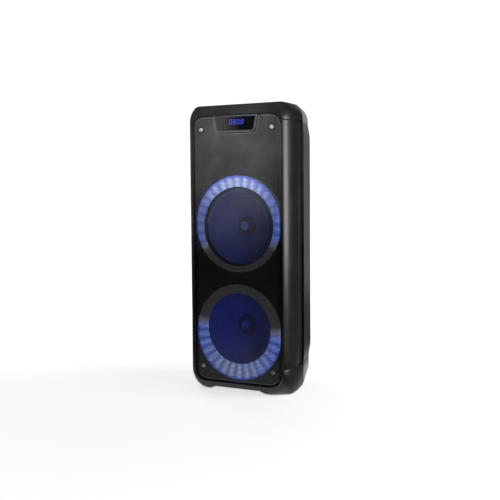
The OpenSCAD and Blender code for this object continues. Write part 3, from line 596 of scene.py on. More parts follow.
UPPER_Z, LOWER_Z = node_mid("woofer_cone_upper")[2], node_mid("woofer_cone_lower")[2]
SCREW_X = 100.0
SCREW_SPOTS = [(x, z) for x in (-SCREW_X, SCREW_X) for z in (59.5, HEIGHT - 61)]


def build_baffle():
    back = -PANEL_Y - PANEL_T
    layers = [(back, 0.4), (back + 0.4, 0), (-PANEL_Y - 0.4, 0), (-PANEL_Y, 0.4)]
    panel = plate(2 * RECESS_HW - 1, 655, 24, layers, (0, 0, 355.5), face="front")
    obj = piece("baffle_panel", *panel, INNER_BLACK, slot="housing_plastic")
    for z in (UPPER_Z, LOWER_Z):
        boolean(obj, drum(0, z, 95, 20, 60))
    boolean(obj, slab(-30, 30, 20, 60, 655, 675))
    smooth(obj, 32)
    post = [(4.9, 0.02), (4.9, 21.2), (4.4, 21.7), (2.3, 21.7), (2.3, 0.02)]
    posts = [lathe(post, (x, PANEL_Y, z), FORWARD, 40) for x, z in SCREW_SPOTS]
    piece("screw_posts", *join(posts), INNER_BLACK, slot="housing_plastic")


# ---------------------------------------------------------------- rear housing

PORT_Z, HANDLE_Z, IO_Z = 289.0, 596.0, 165.0
PORT_R = 28.0
HANDLE_W, HANDLE_H = 128.0, 58.0
IO_W, IO_H = 118.0, 104.0


def rear_profile(grow):
    """Closed plan section of the rear housing: collar, step and tapered shell."""
    turn = math.asin(SIDE_SLOPE / SIDE_NORM)
    edge = 1.0

    def side(inset):
        pts = [(side_x(y) + grow * np.interp(y, [SHELL_Y, REAR_TURN], [0.35, 1]) - inset * SIDE_NORM, y)
               for y in (SHELL_Y + 3, 118, 140, 165, 190, 208)]
        pts += [(REAR_CX + (REAR_R - inset) * math.cos(a) + grow, REAR_CY + (REAR_R - inset) * math.sin(a))
                for a in np.linspace(turn, math.pi / 2, 15)]
        return pts

    face_x = side_x(SHELL_Y) + grow * 0.35
    outer = [(face_x - edge - 0.6, SHELL_Y), (face_x - edge, SHELL_Y + 0.05), (face_x - 0.35, SHELL_Y + 0.35),
             (face_x - SIDE_SLOPE * edge, SHELL_Y + edge)] + side(0)
    steps = (59, 66, 76, 86, 96, SHELL_Y)
    collar = [(half_width(y) - COLLAR_IN, y) for y in steps[::-1]]
    inner = [(half_width(y) - COLLAR_IN - WALL, y) for y in steps] + side(WALL)[1:]
    left = [(-x, y) for x, y in outer[::-1] + collar + inner]
    return np.array(outer + left + inner[::-1] + collar[::-1])


def build_rear():
    low, high = BASE_SEAM + SEAM_GAP, CAP_SEAM - SEAM_GAP
    zs = [low, low + 6, low + 16, 92, 95, 98, 101, 104, 108, 114, 130]
    zs += list(np.linspace(160, 590, 12)) + [615, 626, 632, 636, 639, 642, 645, 648, 656, high - 5, high]

    def grow(z):
        spread = [z + k for k in (-6, -3, 0, 3, 6)]
        return float(np.mean(np.interp(spread, [low, 100, 640, high], [0, SHELL_GROW, SHELL_GROW, 0])))

    shell = loft([level(rear_profile(grow(z)), z) for z in zs])
    obj = piece("rear_housing_shell", *shell, SATIN_REAR, slot="housing_plastic",
                stands_for=("rear_housing",))
    boolean(obj, drum(0, PORT_Z, PORT_R + 2.3, 220, 250))
    for w, h, r, z in ((HANDLE_W - 14, HANDLE_H - 14, 12, HANDLE_Z), (IO_W - 12, IO_H - 12, 4, IO_Z)):
        boolean(obj, plate(w, h, r, [(220, 0), (250, 0)], (0, 0, z), face="back"))
    seam_edges(obj, 0.7, low, high)
    smooth(obj, 30)


# ---------------------------------------------------------------- caps

TRAY_HW, TRAY_Y0, TRAY_Y1 = 90.0, 52.0, 176.0
TRAY_MID = (TRAY_Y0 + TRAY_Y1) / 2
TRAY_FLOOR = HEIGHT - 19
PANEL_Z = TRAY_FLOOR + 3


def cap_shell(name, node, z0, z1):
    """The part of the outer shape between two heights, still solid."""
    obj = piece(name, *envelope(), SATIN, slot="housing_plastic", stands_for=(node,), ride=False)
    boolean(obj, slab(-150, 150, -5, 245, z0, z1), "INTERSECT")
    return obj


def finish_cap(obj, seam):
    seam_edges(obj, 0.6, seam)
    clean(obj.data, 1e-6)
    finish(obj, 33)


def build_top_cap():
    obj = cap_shell("top_cap_shell", "top_cap", CAP_SEAM, HEIGHT + 5)
    boolean(obj, envelope(WALL, PANEL_Y + PANEL_T + 0.5, BODY_D - WALL))
    boolean(obj, slab(-TRAY_HW, TRAY_HW, TRAY_Y0, TRAY_Y1, TRAY_FLOOR, HEIGHT - 1), "UNION")
    boolean(obj, opening())
    recess = slab(-RECESS_HW, RECESS_HW, BEVEL_D + 1, PANEL_Y + PANEL_T + 0.5, CAP_SEAM - 5, OPEN_Z1 - 3)
    boolean(obj, recess)
    w, d = 2 * TRAY_HW - 6, TRAY_Y1 - TRAY_Y0 - 6
    rim = [(PANEL_Z, 0), (HEIGHT - 1.6, 0), (HEIGHT - 0.9, -0.2), (HEIGHT - 0.35, -0.8), (HEIGHT, -1.7),
           (HEIGHT + 4, -1.7)]
    boolean(obj, plate(w, d, 8, rim, (0, TRAY_MID, 0), steps=12))
    boolean(obj, plate(w - 12, d - 12, 6, [(TRAY_FLOOR - 2, 0), (PANEL_Z + 1, 0)], (0, TRAY_MID, 0)))
    finish_cap(obj, CAP_SEAM)


def build_base_cap():
    obj = cap_shell("base_cap_shell", "base_cap", -5, BASE_SEAM)
    room = solid("room", *envelope(WALL, PANEL_Y + PANEL_T + 0.5, BODY_D - WALL))
    boolean(room, slab(-160, 160, 0, 245, 13, 90), "INTERSECT")
    boolean(obj, room)
    boolean(obj, opening())
    boolean(obj, slab(-RECESS_HW, RECESS_HW, PANEL_Y - 1, PANEL_Y + PANEL_T + 1, 27, BASE_SEAM + 5))
    loops = []
    for y, grow in ((-2, 2.2), (0.6, 1.6), (1.6, 0.7), (3.0, 0.1), (5, 0), (90, 0)):
        side = [(63 + grow, 9 + grow), (69, 6.74 + grow), (80, 2.8 + grow), (86 + grow, FOOT_H), (88, -1)]
        loops.append(upright(np.array([(-x, z) for x, z in side[::-1]] + side), y))
    boolean(obj, loft(loops))
    finish_cap(obj, BASE_SEAM)


build_rails()
build_baffle()
build_rear()
build_top_cap()
build_base_cap()

# ---------------------------------------------------------------- grille

PITCH, BAR = 3.2, 0.95                # spacing of the square holes, and the steel left between them
SHEET_Y, SHEET_T = 5.0, 1.2
BEND_X, BEND_R = 110.0, 16.0
GRILLE_HW = 122.0
SHEET_S = BEND_X + BEND_R * math.asin((GRILLE_HW - BEND_X) / BEND_R)
GRILLE_Z0, GRILLE_Z1 = OPEN_Z0 + 3.2, OPEN_Z1 - 2.6
DISPLAY_Z0, DISPLAY_TOP = HEIGHT - 71.5, OPEN_Z1 + 0.7
RIM_W, RIM_LAP = 3.2, 0.7             # the plain rim, and how near its outer edge the mesh under it ends
BOSS_R = 8.6                          # solid disc left round each screw


def bend(s, z, depth):
    """Point on the sheet: s along its width, z up, depth behind its front face."""
    s = np.asarray(s, float)
    a = np.maximum(np.abs(s) - BEND_X, 0) / BEND_R
    r = BEND_R - depth
    x = np.sign(s) * (np.minimum(np.abs(s), BEND_X) + r * np.sin(a))
    y = SHEET_Y + BEND_R - r * np.cos(a)
    return np.column_stack([x, y, np.broadcast_to(z, x.shape)])


def display_outline(grow, n=10):
    """The display's front view: wide at the top, round lower corners; anticlockwise from the top right."""
    r, top_hw, low_hw = 11 + grow, 62.5 + grow, 57 + grow
    z0 = DISPLAY_Z0 - grow
    left = arc(-low_hw + r, z0 + r, r, 180, 270, n)
    right = arc(low_hw - r, z0 + r, r, 270, 360, n)
    return np.array([(top_hw, DISPLAY_TOP), (-top_hw, DISPLAY_TOP)] + left + right)


def grille_loop(step=2.0):
    """The sheet's edge with the notch for the display, in (s, z), evenly spaced and anticlockwise."""
    low_r, up_r, n = 35, 29, 24
    notch = display_outline(1.2, 16)
    slope = (notch[0, 0] - notch[-1, 0]) / (notch[0, 1] - notch[-1, 1])
    mouth = notch[0, 0] - slope * (DISPLAY_TOP - GRILLE_Z1)
    corner = [(mouth + 1.2, GRILLE_Z1), (mouth + 0.35, GRILLE_Z1 - 0.35),
              (mouth - slope * 1.4, GRILLE_Z1 - 1.4)]
    down = corner + [tuple(p) for p in notch[:1:-1]] + [(-s, z) for s, z in corner[::-1]]
    loop = (arc(SHEET_S - low_r, GRILLE_Z0 + low_r, low_r, -90, 0, n)
            + arc(SHEET_S - up_r, GRILLE_Z1 - up_r, up_r, 0, 90, n) + down
            + arc(-SHEET_S + up_r, GRILLE_Z1 - up_r, up_r, 90, 180, n)
            + arc(-SHEET_S + low_r, GRILLE_Z0 + low_r, low_r, 180, 270, n))
    out = []
    for a, b in zip(loop, loop[1:] + loop[:1]):
        count = max(1, math.ceil(math.dist(a, b) / step))
        out += [(a[0] + (b[0] - a[0]) * k / count, a[1] + (b[1] - a[1]) * k / count) for k in range(count)]
    return np.array(out)


def edge_distance(points, loop):
    """Distance of each point to the loop, positive inside, and the nearest point on the loop."""
    best = np.full(len(points), 1e9)
    nearest = np.zeros_like(points)
    inside = np.zeros(len(points), bool)
    for a, b in zip(loop, np.roll(loop, -1, axis=0)):
        run = b - a
        t = np.clip(((points - a) @ run) / max(run @ run, 1e-12), 0, 1)
        spot = a + t[:, None] * run
        d = np.hypot(*(points - spot).T)
        closer = d < best
        best[closer], nearest[closer] = d[closer], spot[closer]
        if a[1] != b[1]:
            crosses = (a[1] > points[:, 1]) != (b[1] > points[:, 1])
            at = a[0] + (points[:, 1] - a[1]) * run[0] / run[1]
            inside ^= crosses & (points[:, 0] < at)
    return np.where(inside, best, -best), nearest


def normals_in(loop):
    run = np.roll(loop, -1, axis=0) - np.roll(loop, 1, axis=0)
    n = np.column_stack([-run[:, 1], run[:, 0]])
    return n / np.linalg.norm(n, axis=1, keepdims=True)


def build_grille():
    loop = grille_loop()
    coarse = grille_loop(400)
    columns = math.ceil(SHEET_S / PITCH)
    rows = math.ceil((GRILLE_Z1 - GRILLE_Z0) / 2 / PITCH)
    mid_z = (GRILLE_Z0 + GRILLE_Z1) / 2
    s_nodes = np.arange(-columns, columns + 1) * PITCH
    z_nodes = mid_z + np.arange(-rows, rows + 1) * PITCH
    hole_s, hole_z = np.meshgrid(s_nodes[:-1] + PITCH / 2, z_nodes[:-1] + PITCH / 2, indexing="ij")
    depth = edge_distance(np.column_stack([hole_s.ravel(), hole_z.ravel()]), coarse)[0]
    open_here = (depth > RIM_W - 0.6).reshape(hole_s.shape)
    for x, z in SCREW_SPOTS:
        open_here &= np.hypot(hole_s - x, hole_z - z) > BOSS_R - 0.4
    halves = {"grille_mesh_lower": (slice(0, rows), slice(2, 4)),
              "grille_mesh_upper": (slice(rows, 2 * rows), slice(0, 2))}
    for name, (rows_kept, shared) in halves.items():
        kept = np.zeros_like(open_here)
        kept[:, rows_kept] = open_here[:, rows_kept]
        lattice(name, s_nodes, z_nodes, kept, coarse, shared)
    inwards = normals_in(loop)
    section = [(0.3, 0), (RIM_W - 0.2, 0), (RIM_W, 0.2), (RIM_W, SHEET_T - 0.05), (0.2, SHEET_T),
               (0, SHEET_T - 0.2), (0, 0.3)]
    rings = [bend(*(loop + inwards * inset).T, depth) for inset, depth in section]
    piece("grille_rim", *ring_loft(rings), GRILLE, slot="grille_steel", stands_for=("front_grille",),
          angle=40)
    # the disc round each screw is inner black: painted shade of the dimple, with a real raised ring
    dimple = [(2.3, -SHEET_T + 0.02), (BOSS_R, -SHEET_T + 0.02), (BOSS_R, 0.1), (8.0, 0.5), (7.4, 0.5),
              (6.8, 0.25), (6.2, 0.0), (5.6, 0.0), (2.3, 0.0)]
    dimples = [lathe(dimple, (x, SHEET_Y, z), FORWARD, 72) for x, z in SCREW_SPOTS]
    piece("grille_dimples", *join(dimples), INNER_BLACK, slot="grille_steel", angle=40)


def lattice(name, s_nodes, z_nodes, kept, loop, shared):
    """Square holes where kept says so, with closed walls all round.

    The middle row of bars is split between the two halves: shared is the pair of corners that stops at its
    centre line.
    """
    ns, nz = len(s_nodes), len(z_nodes)
    pad = np.zeros((ns + 1, nz + 1), bool)
    pad[1:ns, 1:nz] = kept                         # pad[i + 1, j + 1]: the hole up and right of node i, j
    right_bar = pad[1:, 1:] | pad[1:, :-1]         # from node i, j to the next column
    up_bar = pad[1:, 1:] | pad[:-1, 1:]
    node = pad[1:, 1:] | pad[:-1, 1:] | pad[1:, :-1] | pad[:-1, :-1]
    left_bar = np.zeros_like(right_bar)
    left_bar[1:] = right_bar[:-1]
    down_bar = np.zeros_like(up_bar)
    down_bar[:, 1:] = up_bar[:, :-1]
    half = BAR / 2
    gs, gz = np.meshgrid(s_nodes, z_nodes, indexing="ij")
    corners = ((-1, -1), (1, -1), (1, 1), (-1, 1))
    flat = np.stack([np.stack([gs + a * half, gz + b * half], -1) for a, b in corners], 2)
    middle = len(z_nodes) // 2
    flat[:, middle, shared, 1] = z_nodes[middle]
    points = flat.reshape(-1, 2)
    depth, nearest = edge_distance(points, loop)
    edge = (depth < RIM_LAP) & (depth > -6)
    inwards = np.where(depth[:, None] >= 0, points - nearest, nearest - points)
    inwards /= np.maximum(np.linalg.norm(inwards, axis=1, keepdims=True), 1e-9)
    points = np.where(edge[:, None], nearest + inwards * RIM_LAP, points)
    skin = 0.1                                     # how far the mesh stays inside the rim's thickness
    front = bend(points[:, 0], points[:, 1], skin)
    back = bend(points[:, 0], points[:, 1], SHEET_T - skin)
    total = len(front)

    faces = []

    def add(mask, corners, wall=False):
        """A face for each place in mask; a corner is column step, row step and corner number."""
        i, j = np.nonzero(mask)
        ids = [((i + di) * nz + j + dj) * 4 + c for di, dj, c in corners]
        if wall:
            a, b = ids
            faces.append(np.column_stack([a, b, b + total, a + total]))
        else:
            faces.append(np.column_stack(ids))
            faces.append(np.column_stack(ids[::-1]) + total)

    add(node, [(0, 0, 0), (0, 0, 1), (0, 0, 2), (0, 0, 3)])
    add(right_bar, [(0, 0, 1), (1, 0, 0), (1, 0, 3), (0, 0, 2)])
    add(up_bar, [(0, 0, 3), (0, 0, 2), (0, 1, 1), (0, 1, 0)])
    add(right_bar, [(0, 0, 2), (1, 0, 3)], True)
    add(right_bar, [(1, 0, 0), (0, 0, 1)], True)
    add(up_bar, [(0, 1, 1), (0, 0, 2)], True)
    add(up_bar, [(0, 0, 3), (0, 1, 0)], True)
    add(node & ~right_bar, [(0, 0, 2), (0, 0, 1)], True)
    add(node & ~left_bar, [(0, 0, 0), (0, 0, 3)], True)
    add(node & ~up_bar, [(0, 0, 3), (0, 0, 2)], True)
    add(node & ~down_bar, [(0, 0, 1), (0, 0, 0)], True)
    faces = np.concatenate(faces)
    used, remap = np.unique(faces, return_inverse=True)
    obj = solid(name, np.concatenate([front, back])[used], remap.reshape(faces.shape).tolist())
    obj.data.materials.append(GRILLE)
    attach(obj, "cabinet")


def screw_head(r, h, socket_r, socket_end, x, y, z):
    """A button head facing forwards: a turned dome with a six sided well for its socket."""
    angles = turns(48)
    hexed = socket_r * math.cos(math.pi / 6) / np.cos((angles % (math.pi / 3)) - math.pi / 6)
    rows = [(0.01, 0.0), (r, 0.0), (r, h * 0.12)]
    for a in (15, 35, 55, 72):
        out, up = math.cos(math.radians(a - 8)), math.sin(math.radians(a))
        rows.append((r * (0.3 + 0.7 * out), h * (0.12 + 0.88 * up)))
    rows += [(hexed + 0.5, h), (hexed + 0.12, h - 0.06), (hexed, h - 0.25), (hexed, socket_end),
             (hexed * 0.05, socket_end - 0.2)]
    return loft([round_row(x, z, angles, radius, y - height) for radius, height in rows])


def build_grille_screws():
    shank = [(0.01, -24), (1.6, -24), (1.9, -23.6), (1.9, -1.4), (0.01, -1.4)]
    parts = [screw_head(5.2, 3.0, 2.9, -1.2, x, SHEET_Y - 0.02, z) for x, z in SCREW_SPOTS]
    parts += [lathe(shank, (x, SHEET_Y, z), FORWARD, 24) for x, z in SCREW_SPOTS]
    piece("grille_screw_set", *join(parts), STEEL, slot="bright_steel", stands_for=("grille_screws",),
          angle=38)


build_grille()
build_grille_screws()

# ---------------------------------------------------------------- light rings

RING_R, RING_EDGE_Y, RING_CONE, RING_T = 120.0, 10.4, 3.2, 2.2
# lit is the arc that glows, in degrees from the right; level its brightness in the middle and at the ends
RINGS = {
    "upper": dict(z=420.0, hole_z=414.0, hole_r=98.5,
                  lit=(-24.0, 208.0), first_led=-6.0, level=(1.62, 0.52)),
    "lower": dict(z=150.0, hole_z=158.5, hole_r=89.0,
                  lit=(170.0, 360.0), first_led=174.0, level=(0.72, 0.62)),
}
LED_STEP = 12.0
RIBS = 120


def ring_light(name, z, lit, first_led, level):
    """Diffuser plastic that glows where the lamps behind it are on; its unlit front also has a faint painted
    white glow.
    """
    g = Graph(name)
    x = g.axes()[0]
    up = g.math("SUBTRACT", g.axes()[2], z / 1000)
    radius = g.math("SQRT", g.math("ADD", g.math("MULTIPLY", x, x), g.math("MULTIPLY", up, up)))
    mid = math.radians((lit[0] + lit[1]) / 2)
    reach = math.radians((lit[1] - lit[0]) / 2)
    # the place turned so that the middle of the lit arc lies at angle 0
    c, s = math.cos(mid), math.sin(mid)
    turned_x = g.math("ADD", g.math("MULTIPLY", x, c), g.math("MULTIPLY", up, s))
    turned_y = g.math("SUBTRACT", g.math("MULTIPLY", up, c), g.math("MULTIPLY", x, s))
    angle = g.math("ARCTAN2", turned_y, turned_x)
    away = g.math("ABSOLUTE", angle)
    window = g.math("SUBTRACT", 1.0, g.ramp(away, reach - 0.12, reach + 0.2))
    lamps_per_radian = 360 / LED_STEP
    phase = g.math("MULTIPLY", g.math("ADD", angle, mid - math.radians(first_led)), lamps_per_radian)
    patch = g.math("POWER", g.math("MULTIPLY_ADD", g.math("COSINE", phase), 0.5, 0.5), 0.8)
    edge = g.ramp(radius, 0.111, 0.1185)
    front = g.facing_front(-0.1, -0.5)
    gap_glow = g.mix(edge, (0.13, 0.24, 0.85), (0.02, 0.06, 0.7))
    lamp_glow = g.mix(edge, (0.58, 0.68, 1.0), (0.06, 0.14, 1.0))
    fade = g.ramp(away, 0.15, 1.35)
    far_glow = g.mix(patch, (0.04, 0.14, 0.95), (0.24, 0.44, 1.6))
    glow = g.mix(g.math("MULTIPLY", fade, 0.7), g.mix(patch, gap_glow, lamp_glow), far_glow)
    strength = g.math("MULTIPLY_ADD", fade, level[1] - level[0], level[0])
    power = g.math("MULTIPLY", g.math("MULTIPLY", window, front), strength)
    # painted light: outside the lit arc the glow turns white, and every front face glows a little more
    glow = g.mix(window, (1.0, 1.0, 1.08), glow)
    faint = g.math("MULTIPLY_ADD", front, 0.042, power)
    grain = g.noise(700, detail=2)
    shade = g.mix(grain, (0.24, 0.24, 0.25), (0.29, 0.29, 0.3))
    normal = g.bump(grain, 0.00004, 0.5)
    return g.surface(g.principled(
        color=shade, rough=0.34, normal=normal, coat=0.2, glow=glow, glow_power=faint))


def ring_front(r):
    """Height of the ring's face above the baffle at radius r."""
    return PANEL_Y - RING_EDGE_Y - RING_CONE * (RING_R - r) / 30


def build_ring(which):
    ring = RINGS[which]
    angles = turns(RIBS * 6)
    drop = ring["hole_z"] - ring["z"]
    inner = drop * np.sin(angles) + np.sqrt(ring["hole_r"] ** 2 - (drop * np.cos(angles)) ** 2)
    rib = 0.5 + 0.5 * np.cos(angles * RIBS)
    rim = PANEL_Y - RING_EDGE_Y
    face_out = RING_R - 1.6
    rows = [(inner, ring_front(inner) - RING_T), (inner, ring_front(inner) - 0.7),
            (inner + 0.2, ring_front(inner) - 0.2), (inner + 0.7, ring_front(inner + 0.7))]
    for f in (0.08, 0.16, 0.3, 0.45, 0.6, 0.75, 0.88, 0.95):
        r = inner + 0.7 + (face_out - inner - 0.7) * f
        depth = 0.45 * min(1.0, f / 0.16, (1 - f) / 0.12)
        rows.append((r, ring_front(r) - depth * rib))
    rows += [(face_out, rim - 0.17), (RING_R - 1.0, rim - 0.2), (RING_R - 0.35, rim - 0.5)]
    rows += [(RING_R, rim - 1.2), (RING_R, 0.15), (RING_R - 2.2, 0.15), (RING_R - 2.2, rim - RING_T - 0.2)]
    rings = [round_row(0, ring["z"], angles, r, PANEL_Y - h) for r, h in rows]
    glow = ring_light("diffuser_" + which, ring["z"], ring["lit"], ring["first_led"], ring["level"])
    piece("light_ring_guide_" + which, *ring_loft(rings), glow, slot="diffuser",
          stands_for=("light_ring_" + which,), angle=50)


for which in RINGS:
    build_ring(which)

# ---------------------------------------------------------------- woofers

CONE_R, CONE_TOP, COIL_R, NECK_H = 78.0, 1.0, 17.6, -30.0
CONE_SLOPE = (CONE_TOP - NECK_H) / (CONE_R - COIL_R)
CAP_R, CAP_RISE = 26.0, 11.0
FLANGE_TOP = 3.6
ROLL_R, ROLL_T = 5.6, 0.8
ROLL_MID = (CONE_R + 1 + 90.6) / 2


def cone_h(r):
    """Height of the straight cone at radius r."""
    return NECK_H + (r - COIL_R) * CONE_SLOPE


def cone_face(r):
    """The cone bows back a little between its two ends."""
    t = (r - COIL_R) / (CONE_R - COIL_R)
    return cone_h(r) - 2.2 * 4 * t * (1 - t) * (1 if t > 0 else 0)


def pulp(name, color, glow, power):
    """Pressed paper: fibres, faint rings, and a painted glow that stands in for the ring's light on it,
    stronger towards the left.
    """
    g = Graph(name)
    fibre = g.noise(420, detail=6, roughness=0.7)
    cloud = g.noise(18, detail=2)
    shade = g.mix(fibre, tuple(c * 0.65 for c in color), tuple(c * 1.3 for c in color))
    # painted light: the glow is strongest on the left and shows only on faces turned to the front
    side = g.ramp(g.axes()[0], 0.07, -0.07)
    power = g.math("MULTIPLY", power, g.facing_front(0.0, -0.3))
    level = g.math("MULTIPLY", power, g.math("MULTIPLY_ADD", side, 0.8, g.math("MULTIPLY", cloud, 0.8)))
    normal = g.bump(fibre, 0.00012, 0.7)
    return g.surface(g.principled(
        color=shade, rough=0.55, normal=normal, sheen=0.3, glow=glow, glow_power=level))


# for each woofer, a material's colour, its glow and how strong that is; the blue of the colours and the glow
# are painted ring light, so the upper and lower copies differ
PAPERS = {
    "upper": {
        "cone": pulp("cone_pulp_upper", (0.02, 0.026, 0.07), (0.1, 0.16, 0.8), 0.15),
        "cap": pulp("cap_pulp_upper", (0.02, 0.022, 0.04), (0.09, 0.15, 0.8), 0.07),
        "button": pulp("cap_button_upper", (0.05, 0.06, 0.16), (0.13, 0.22, 0.95), 0.36),
        "roll": pulp("surround_rubber_upper", (0.018, 0.022, 0.055), (0.1, 0.16, 0.8), 0.14),
    },
    "lower": {
        "cone": pulp("cone_pulp_lower", (0.012, 0.018, 0.09), (0.03, 0.07, 1.0), 0.17),
        "cap": pulp("cap_pulp_lower", (0.012, 0.016, 0.05), (0.02, 0.05, 1.0), 0.07),
        "button": pulp("cap_button_lower", (0.03, 0.05, 0.25), (0.04, 0.1, 1.0), 0.26),
        "roll": pulp("surround_rubber_lower", (0.01, 0.015, 0.06), (0.03, 0.07, 1.0), 0.15),
    },
}


def sweep(cx, cy, r, degrees, rise=None):
    """Points on an arc, or on an oval one when rise isn't r."""
    rise = r if rise is None else rise
    return [(cx + r * math.cos(math.radians(a)), cy + rise * math.sin(math.radians(a))) for a in degrees]


def build_cone(which, centre):
    front = []
    for k, r in enumerate(np.linspace(COIL_R + 0.1, CONE_R, 30)):
        ridge = 0.35 if k % 7 == 3 else 0.0
        front.append((r, cone_face(r) + ridge))
    rear = [(r, h - 1.0 - (1.4 if i == 0 else 0)) for i, (r, h) in enumerate(front)][::-1]
    piece("cone_" + which, *lathe(front + rear, centre, FORWARD, 144), PAPERS[which]["cone"],
          which + "_cone", "cone_pulp", stands_for=("woofer_cone_" + which,), angle=50)


def build_dust_cap(which, centre):
    """A dome, with a button glued in the middle."""
    low = cone_face(CAP_R) + 0.12
    dome = [(CAP_R + 1.2, low - 0.05), (CAP_R + 1.2, low + 0.5), (CAP_R + 0.2, low + 0.8)]
    dome += sweep(0, low + 0.6, CAP_R, np.linspace(6, 64, 12), CAP_RISE)
    top = dome[-1][1]
    dome += [(11.2, top + 0.1), (10.9, top - 0.5), (10.9, top - 1.3)]
    dome += [(18.0, low + 7.0), (CAP_R - 1.5, low + 0.4)]
    button = [(10.8, top - 1.2)] + sweep(0, top - 0.4, 10.8, (0, 12, 25, 42, 60, 76, 89), 3.8)
    button += [(0.05, top + 2.4), (7.0, top - 0.2)]
    piece("cap_button_" + which, *lathe(button, centre, FORWARD, 96), PAPERS[which]["button"],
          which + "_cone", "cone_pulp", angle=35)
    piece("dust_dome_" + which, *lathe(dome, centre, FORWARD, 120), PAPERS[which]["cap"], which + "_cone",
          "cone_pulp", stands_for=("dust_cap_" + which,), angle=35)


def build_surround(which, centre):
    """A half roll in two pieces: the outer rides on the cabinet, the inner is not attached to a body."""
    base = FLANGE_TOP + 0.05 + ROLL_T / 2
    thick, thin = ROLL_R + ROLL_T / 2, ROLL_R - ROLL_T / 2
    outer = [(95.2, base - ROLL_T / 2), (95.2, base + 0.1), (94.9, base + ROLL_T / 2),
             (92.4, base + ROLL_T / 2)]
    quarter = np.linspace(0, 90, 13)
    outer += sweep(ROLL_MID, base, thick, quarter) + sweep(ROLL_MID, base, thin, quarter[::-1])
    piece("surround_outer_" + which, *lathe(outer, centre, FORWARD, 144), PAPERS[which]["roll"],
          slot="rubber", stands_for=("surround_" + which,), angle=50)
    inner = [(CONE_R + 0.5, CONE_TOP + 0.4), (CONE_R - 1, cone_face(CONE_R - 1) + 0.12)]
    lip = ((5, 0.12), (5.4, 0.4), (5, 0.8))
    inner += [(CONE_R - back, cone_face(CONE_R - back) + rise) for back, rise in lip]
    inner += [(CONE_R - 0.8, CONE_TOP + 0.9)]
    inner += sweep(ROLL_MID, base, thick, 180 - quarter[1:])
    inner += sweep(ROLL_MID, base, thin, 180 - np.linspace(90, 12, 11))
    roll = piece("surround_inner_" + which, *lathe(inner, centre, FORWARD, 144), PAPERS[which]["roll"],
                 slot="rubber", angle=50, ride=False)
    depths = (base + ROLL_R - 0.6, CONE_TOP + 1.2)
    start, end = to_frame([(0, centre[1] - depth, centre[2]) for depth in depths])
    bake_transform(roll)


for which, z in (("upper", UPPER_Z), ("lower", LOWER_Z)):
    for build in (build_cone, build_dust_cap, build_surround):
        build(which, (0, PANEL_Y, z))

# ---------------------------------------------------------------- display


def mouth_top(y, gap):
    """Height of the opening's upper bevel at depth y, less a gap."""
    return OPEN_Z1 - BEVEL_IN * min(max((y + 1) / (BEVEL_D + 1), 0), 1) - gap


def under_mouth(loop, y, gap):
    """A front view outline at depth y, cut off below the opening's upper bevel."""
    loop = loop.copy()
    loop[:, 1] = np.minimum(loop[:, 1], mouth_top(y, gap))
    return upright(loop, y)


def build_display():
    steps = [(28.9, 0), (12.0, 0), (6, 0), (1.9, 0), (1.15, -0.2), (0.72, -0.6), (0.6, -1.1), (0.6, -4.3),
             (0.75, -4.8), (1.2, -5.05), (2.1, -5.05), (2.3, -3.05), (6, -3), (12.0, -3), (28.9, -3)]
    rings = [under_mouth(display_outline(grow), y, 0.6 + 2 * min(1.6, -grow / 3)) for y, grow in steps]
    bars = [plate(112, 3, 1, [(-14.5, 0), (-12.7, 0)], (0, 0, z), face="front") for z in (664, 678)]
    piece("display_frame", *join([ring_loft(rings)] + bars), GLOSS_FRAME, slot="housing_plastic",
          stands_for=("display_bezel",))
    steps = [(4.4, -3.4), (3.9, -3.15), (2.75, -3.15), (2.45, -3.5), (2.4, -4.0)]
    glass = loft([under_mouth(display_outline(grow), y, -0.4 - grow) for y, grow in steps])
    piece("display_glass", *glass, WINDOW, slot="display_glass", stands_for=("display_window",))


def segment(cx, cz, length, width, upright_bar, y0, y1):
    """One pointed bar of a figure."""
    a, b = length / 2, width / 2
    flat = np.array([(-a, 0), (-a + b, -b), (a - b, -b), (a, 0), (a - b, b), (-a + b, b)])
    if upright_bar:
        flat = flat[:, ::-1] * [1, -1]
    return loft([np.column_stack([cx + flat[:, 0], np.full(6, y), cz + flat[:, 1]]) for y in (y1, y0)])


FIGURES = ("abcdef", "abcdefg", "abcdef", "abcdefg")      # lit bars of each of the four generic figures
DIGIT_PITCH, DIGIT_W, DIGIT_H, DIGIT_BAR = 10.8, 7.2, 12.6, 1.5


def build_digits():
    low, high = node_mm("display_digits")
    x0, z = node_mid("display_digits")[[0, 2]]
    w, h = (DIGIT_W - DIGIT_BAR) / 2, (DIGIT_H - DIGIT_BAR) / 2
    spots = {"a": (0, h, False), "d": (0, -h, False), "g": (0, 0, False), "f": (-w, h / 2, True),
             "b": (w, h / 2, True), "e": (-w, -h / 2, True), "c": (w, -h / 2, True)}
    lit, unlit = [], []
    for k, figure in enumerate(FIGURES):
        x = x0 + (k - 1.5) * DIGIT_PITCH
        for key, (dx, dz, up) in spots.items():
            length = (h if up else 2 * w) - 0.25
            bar = segment(x + dx, z + dz, length, DIGIT_BAR, up, low[1], high[1] - 0.02)
            if key in figure:
                lit.append(bar)
            else:
                unlit.append(bar)
    layers = [(-high[1] + 0.02, 0), (-low[1], 0.1)]
    lit += [plate(1.5, 1.5, 0.5, layers, (x0, 0, z + dz), face="front", steps=5) for dz in (-2.4, 2.4)]
    piece("digits_lit", *join(lit), DIGIT_LIT, slot="digit_light", stands_for=("display_digits",))
    piece("digits_unlit", *join(unlit), DIGIT_DIM, slot="digit_light")


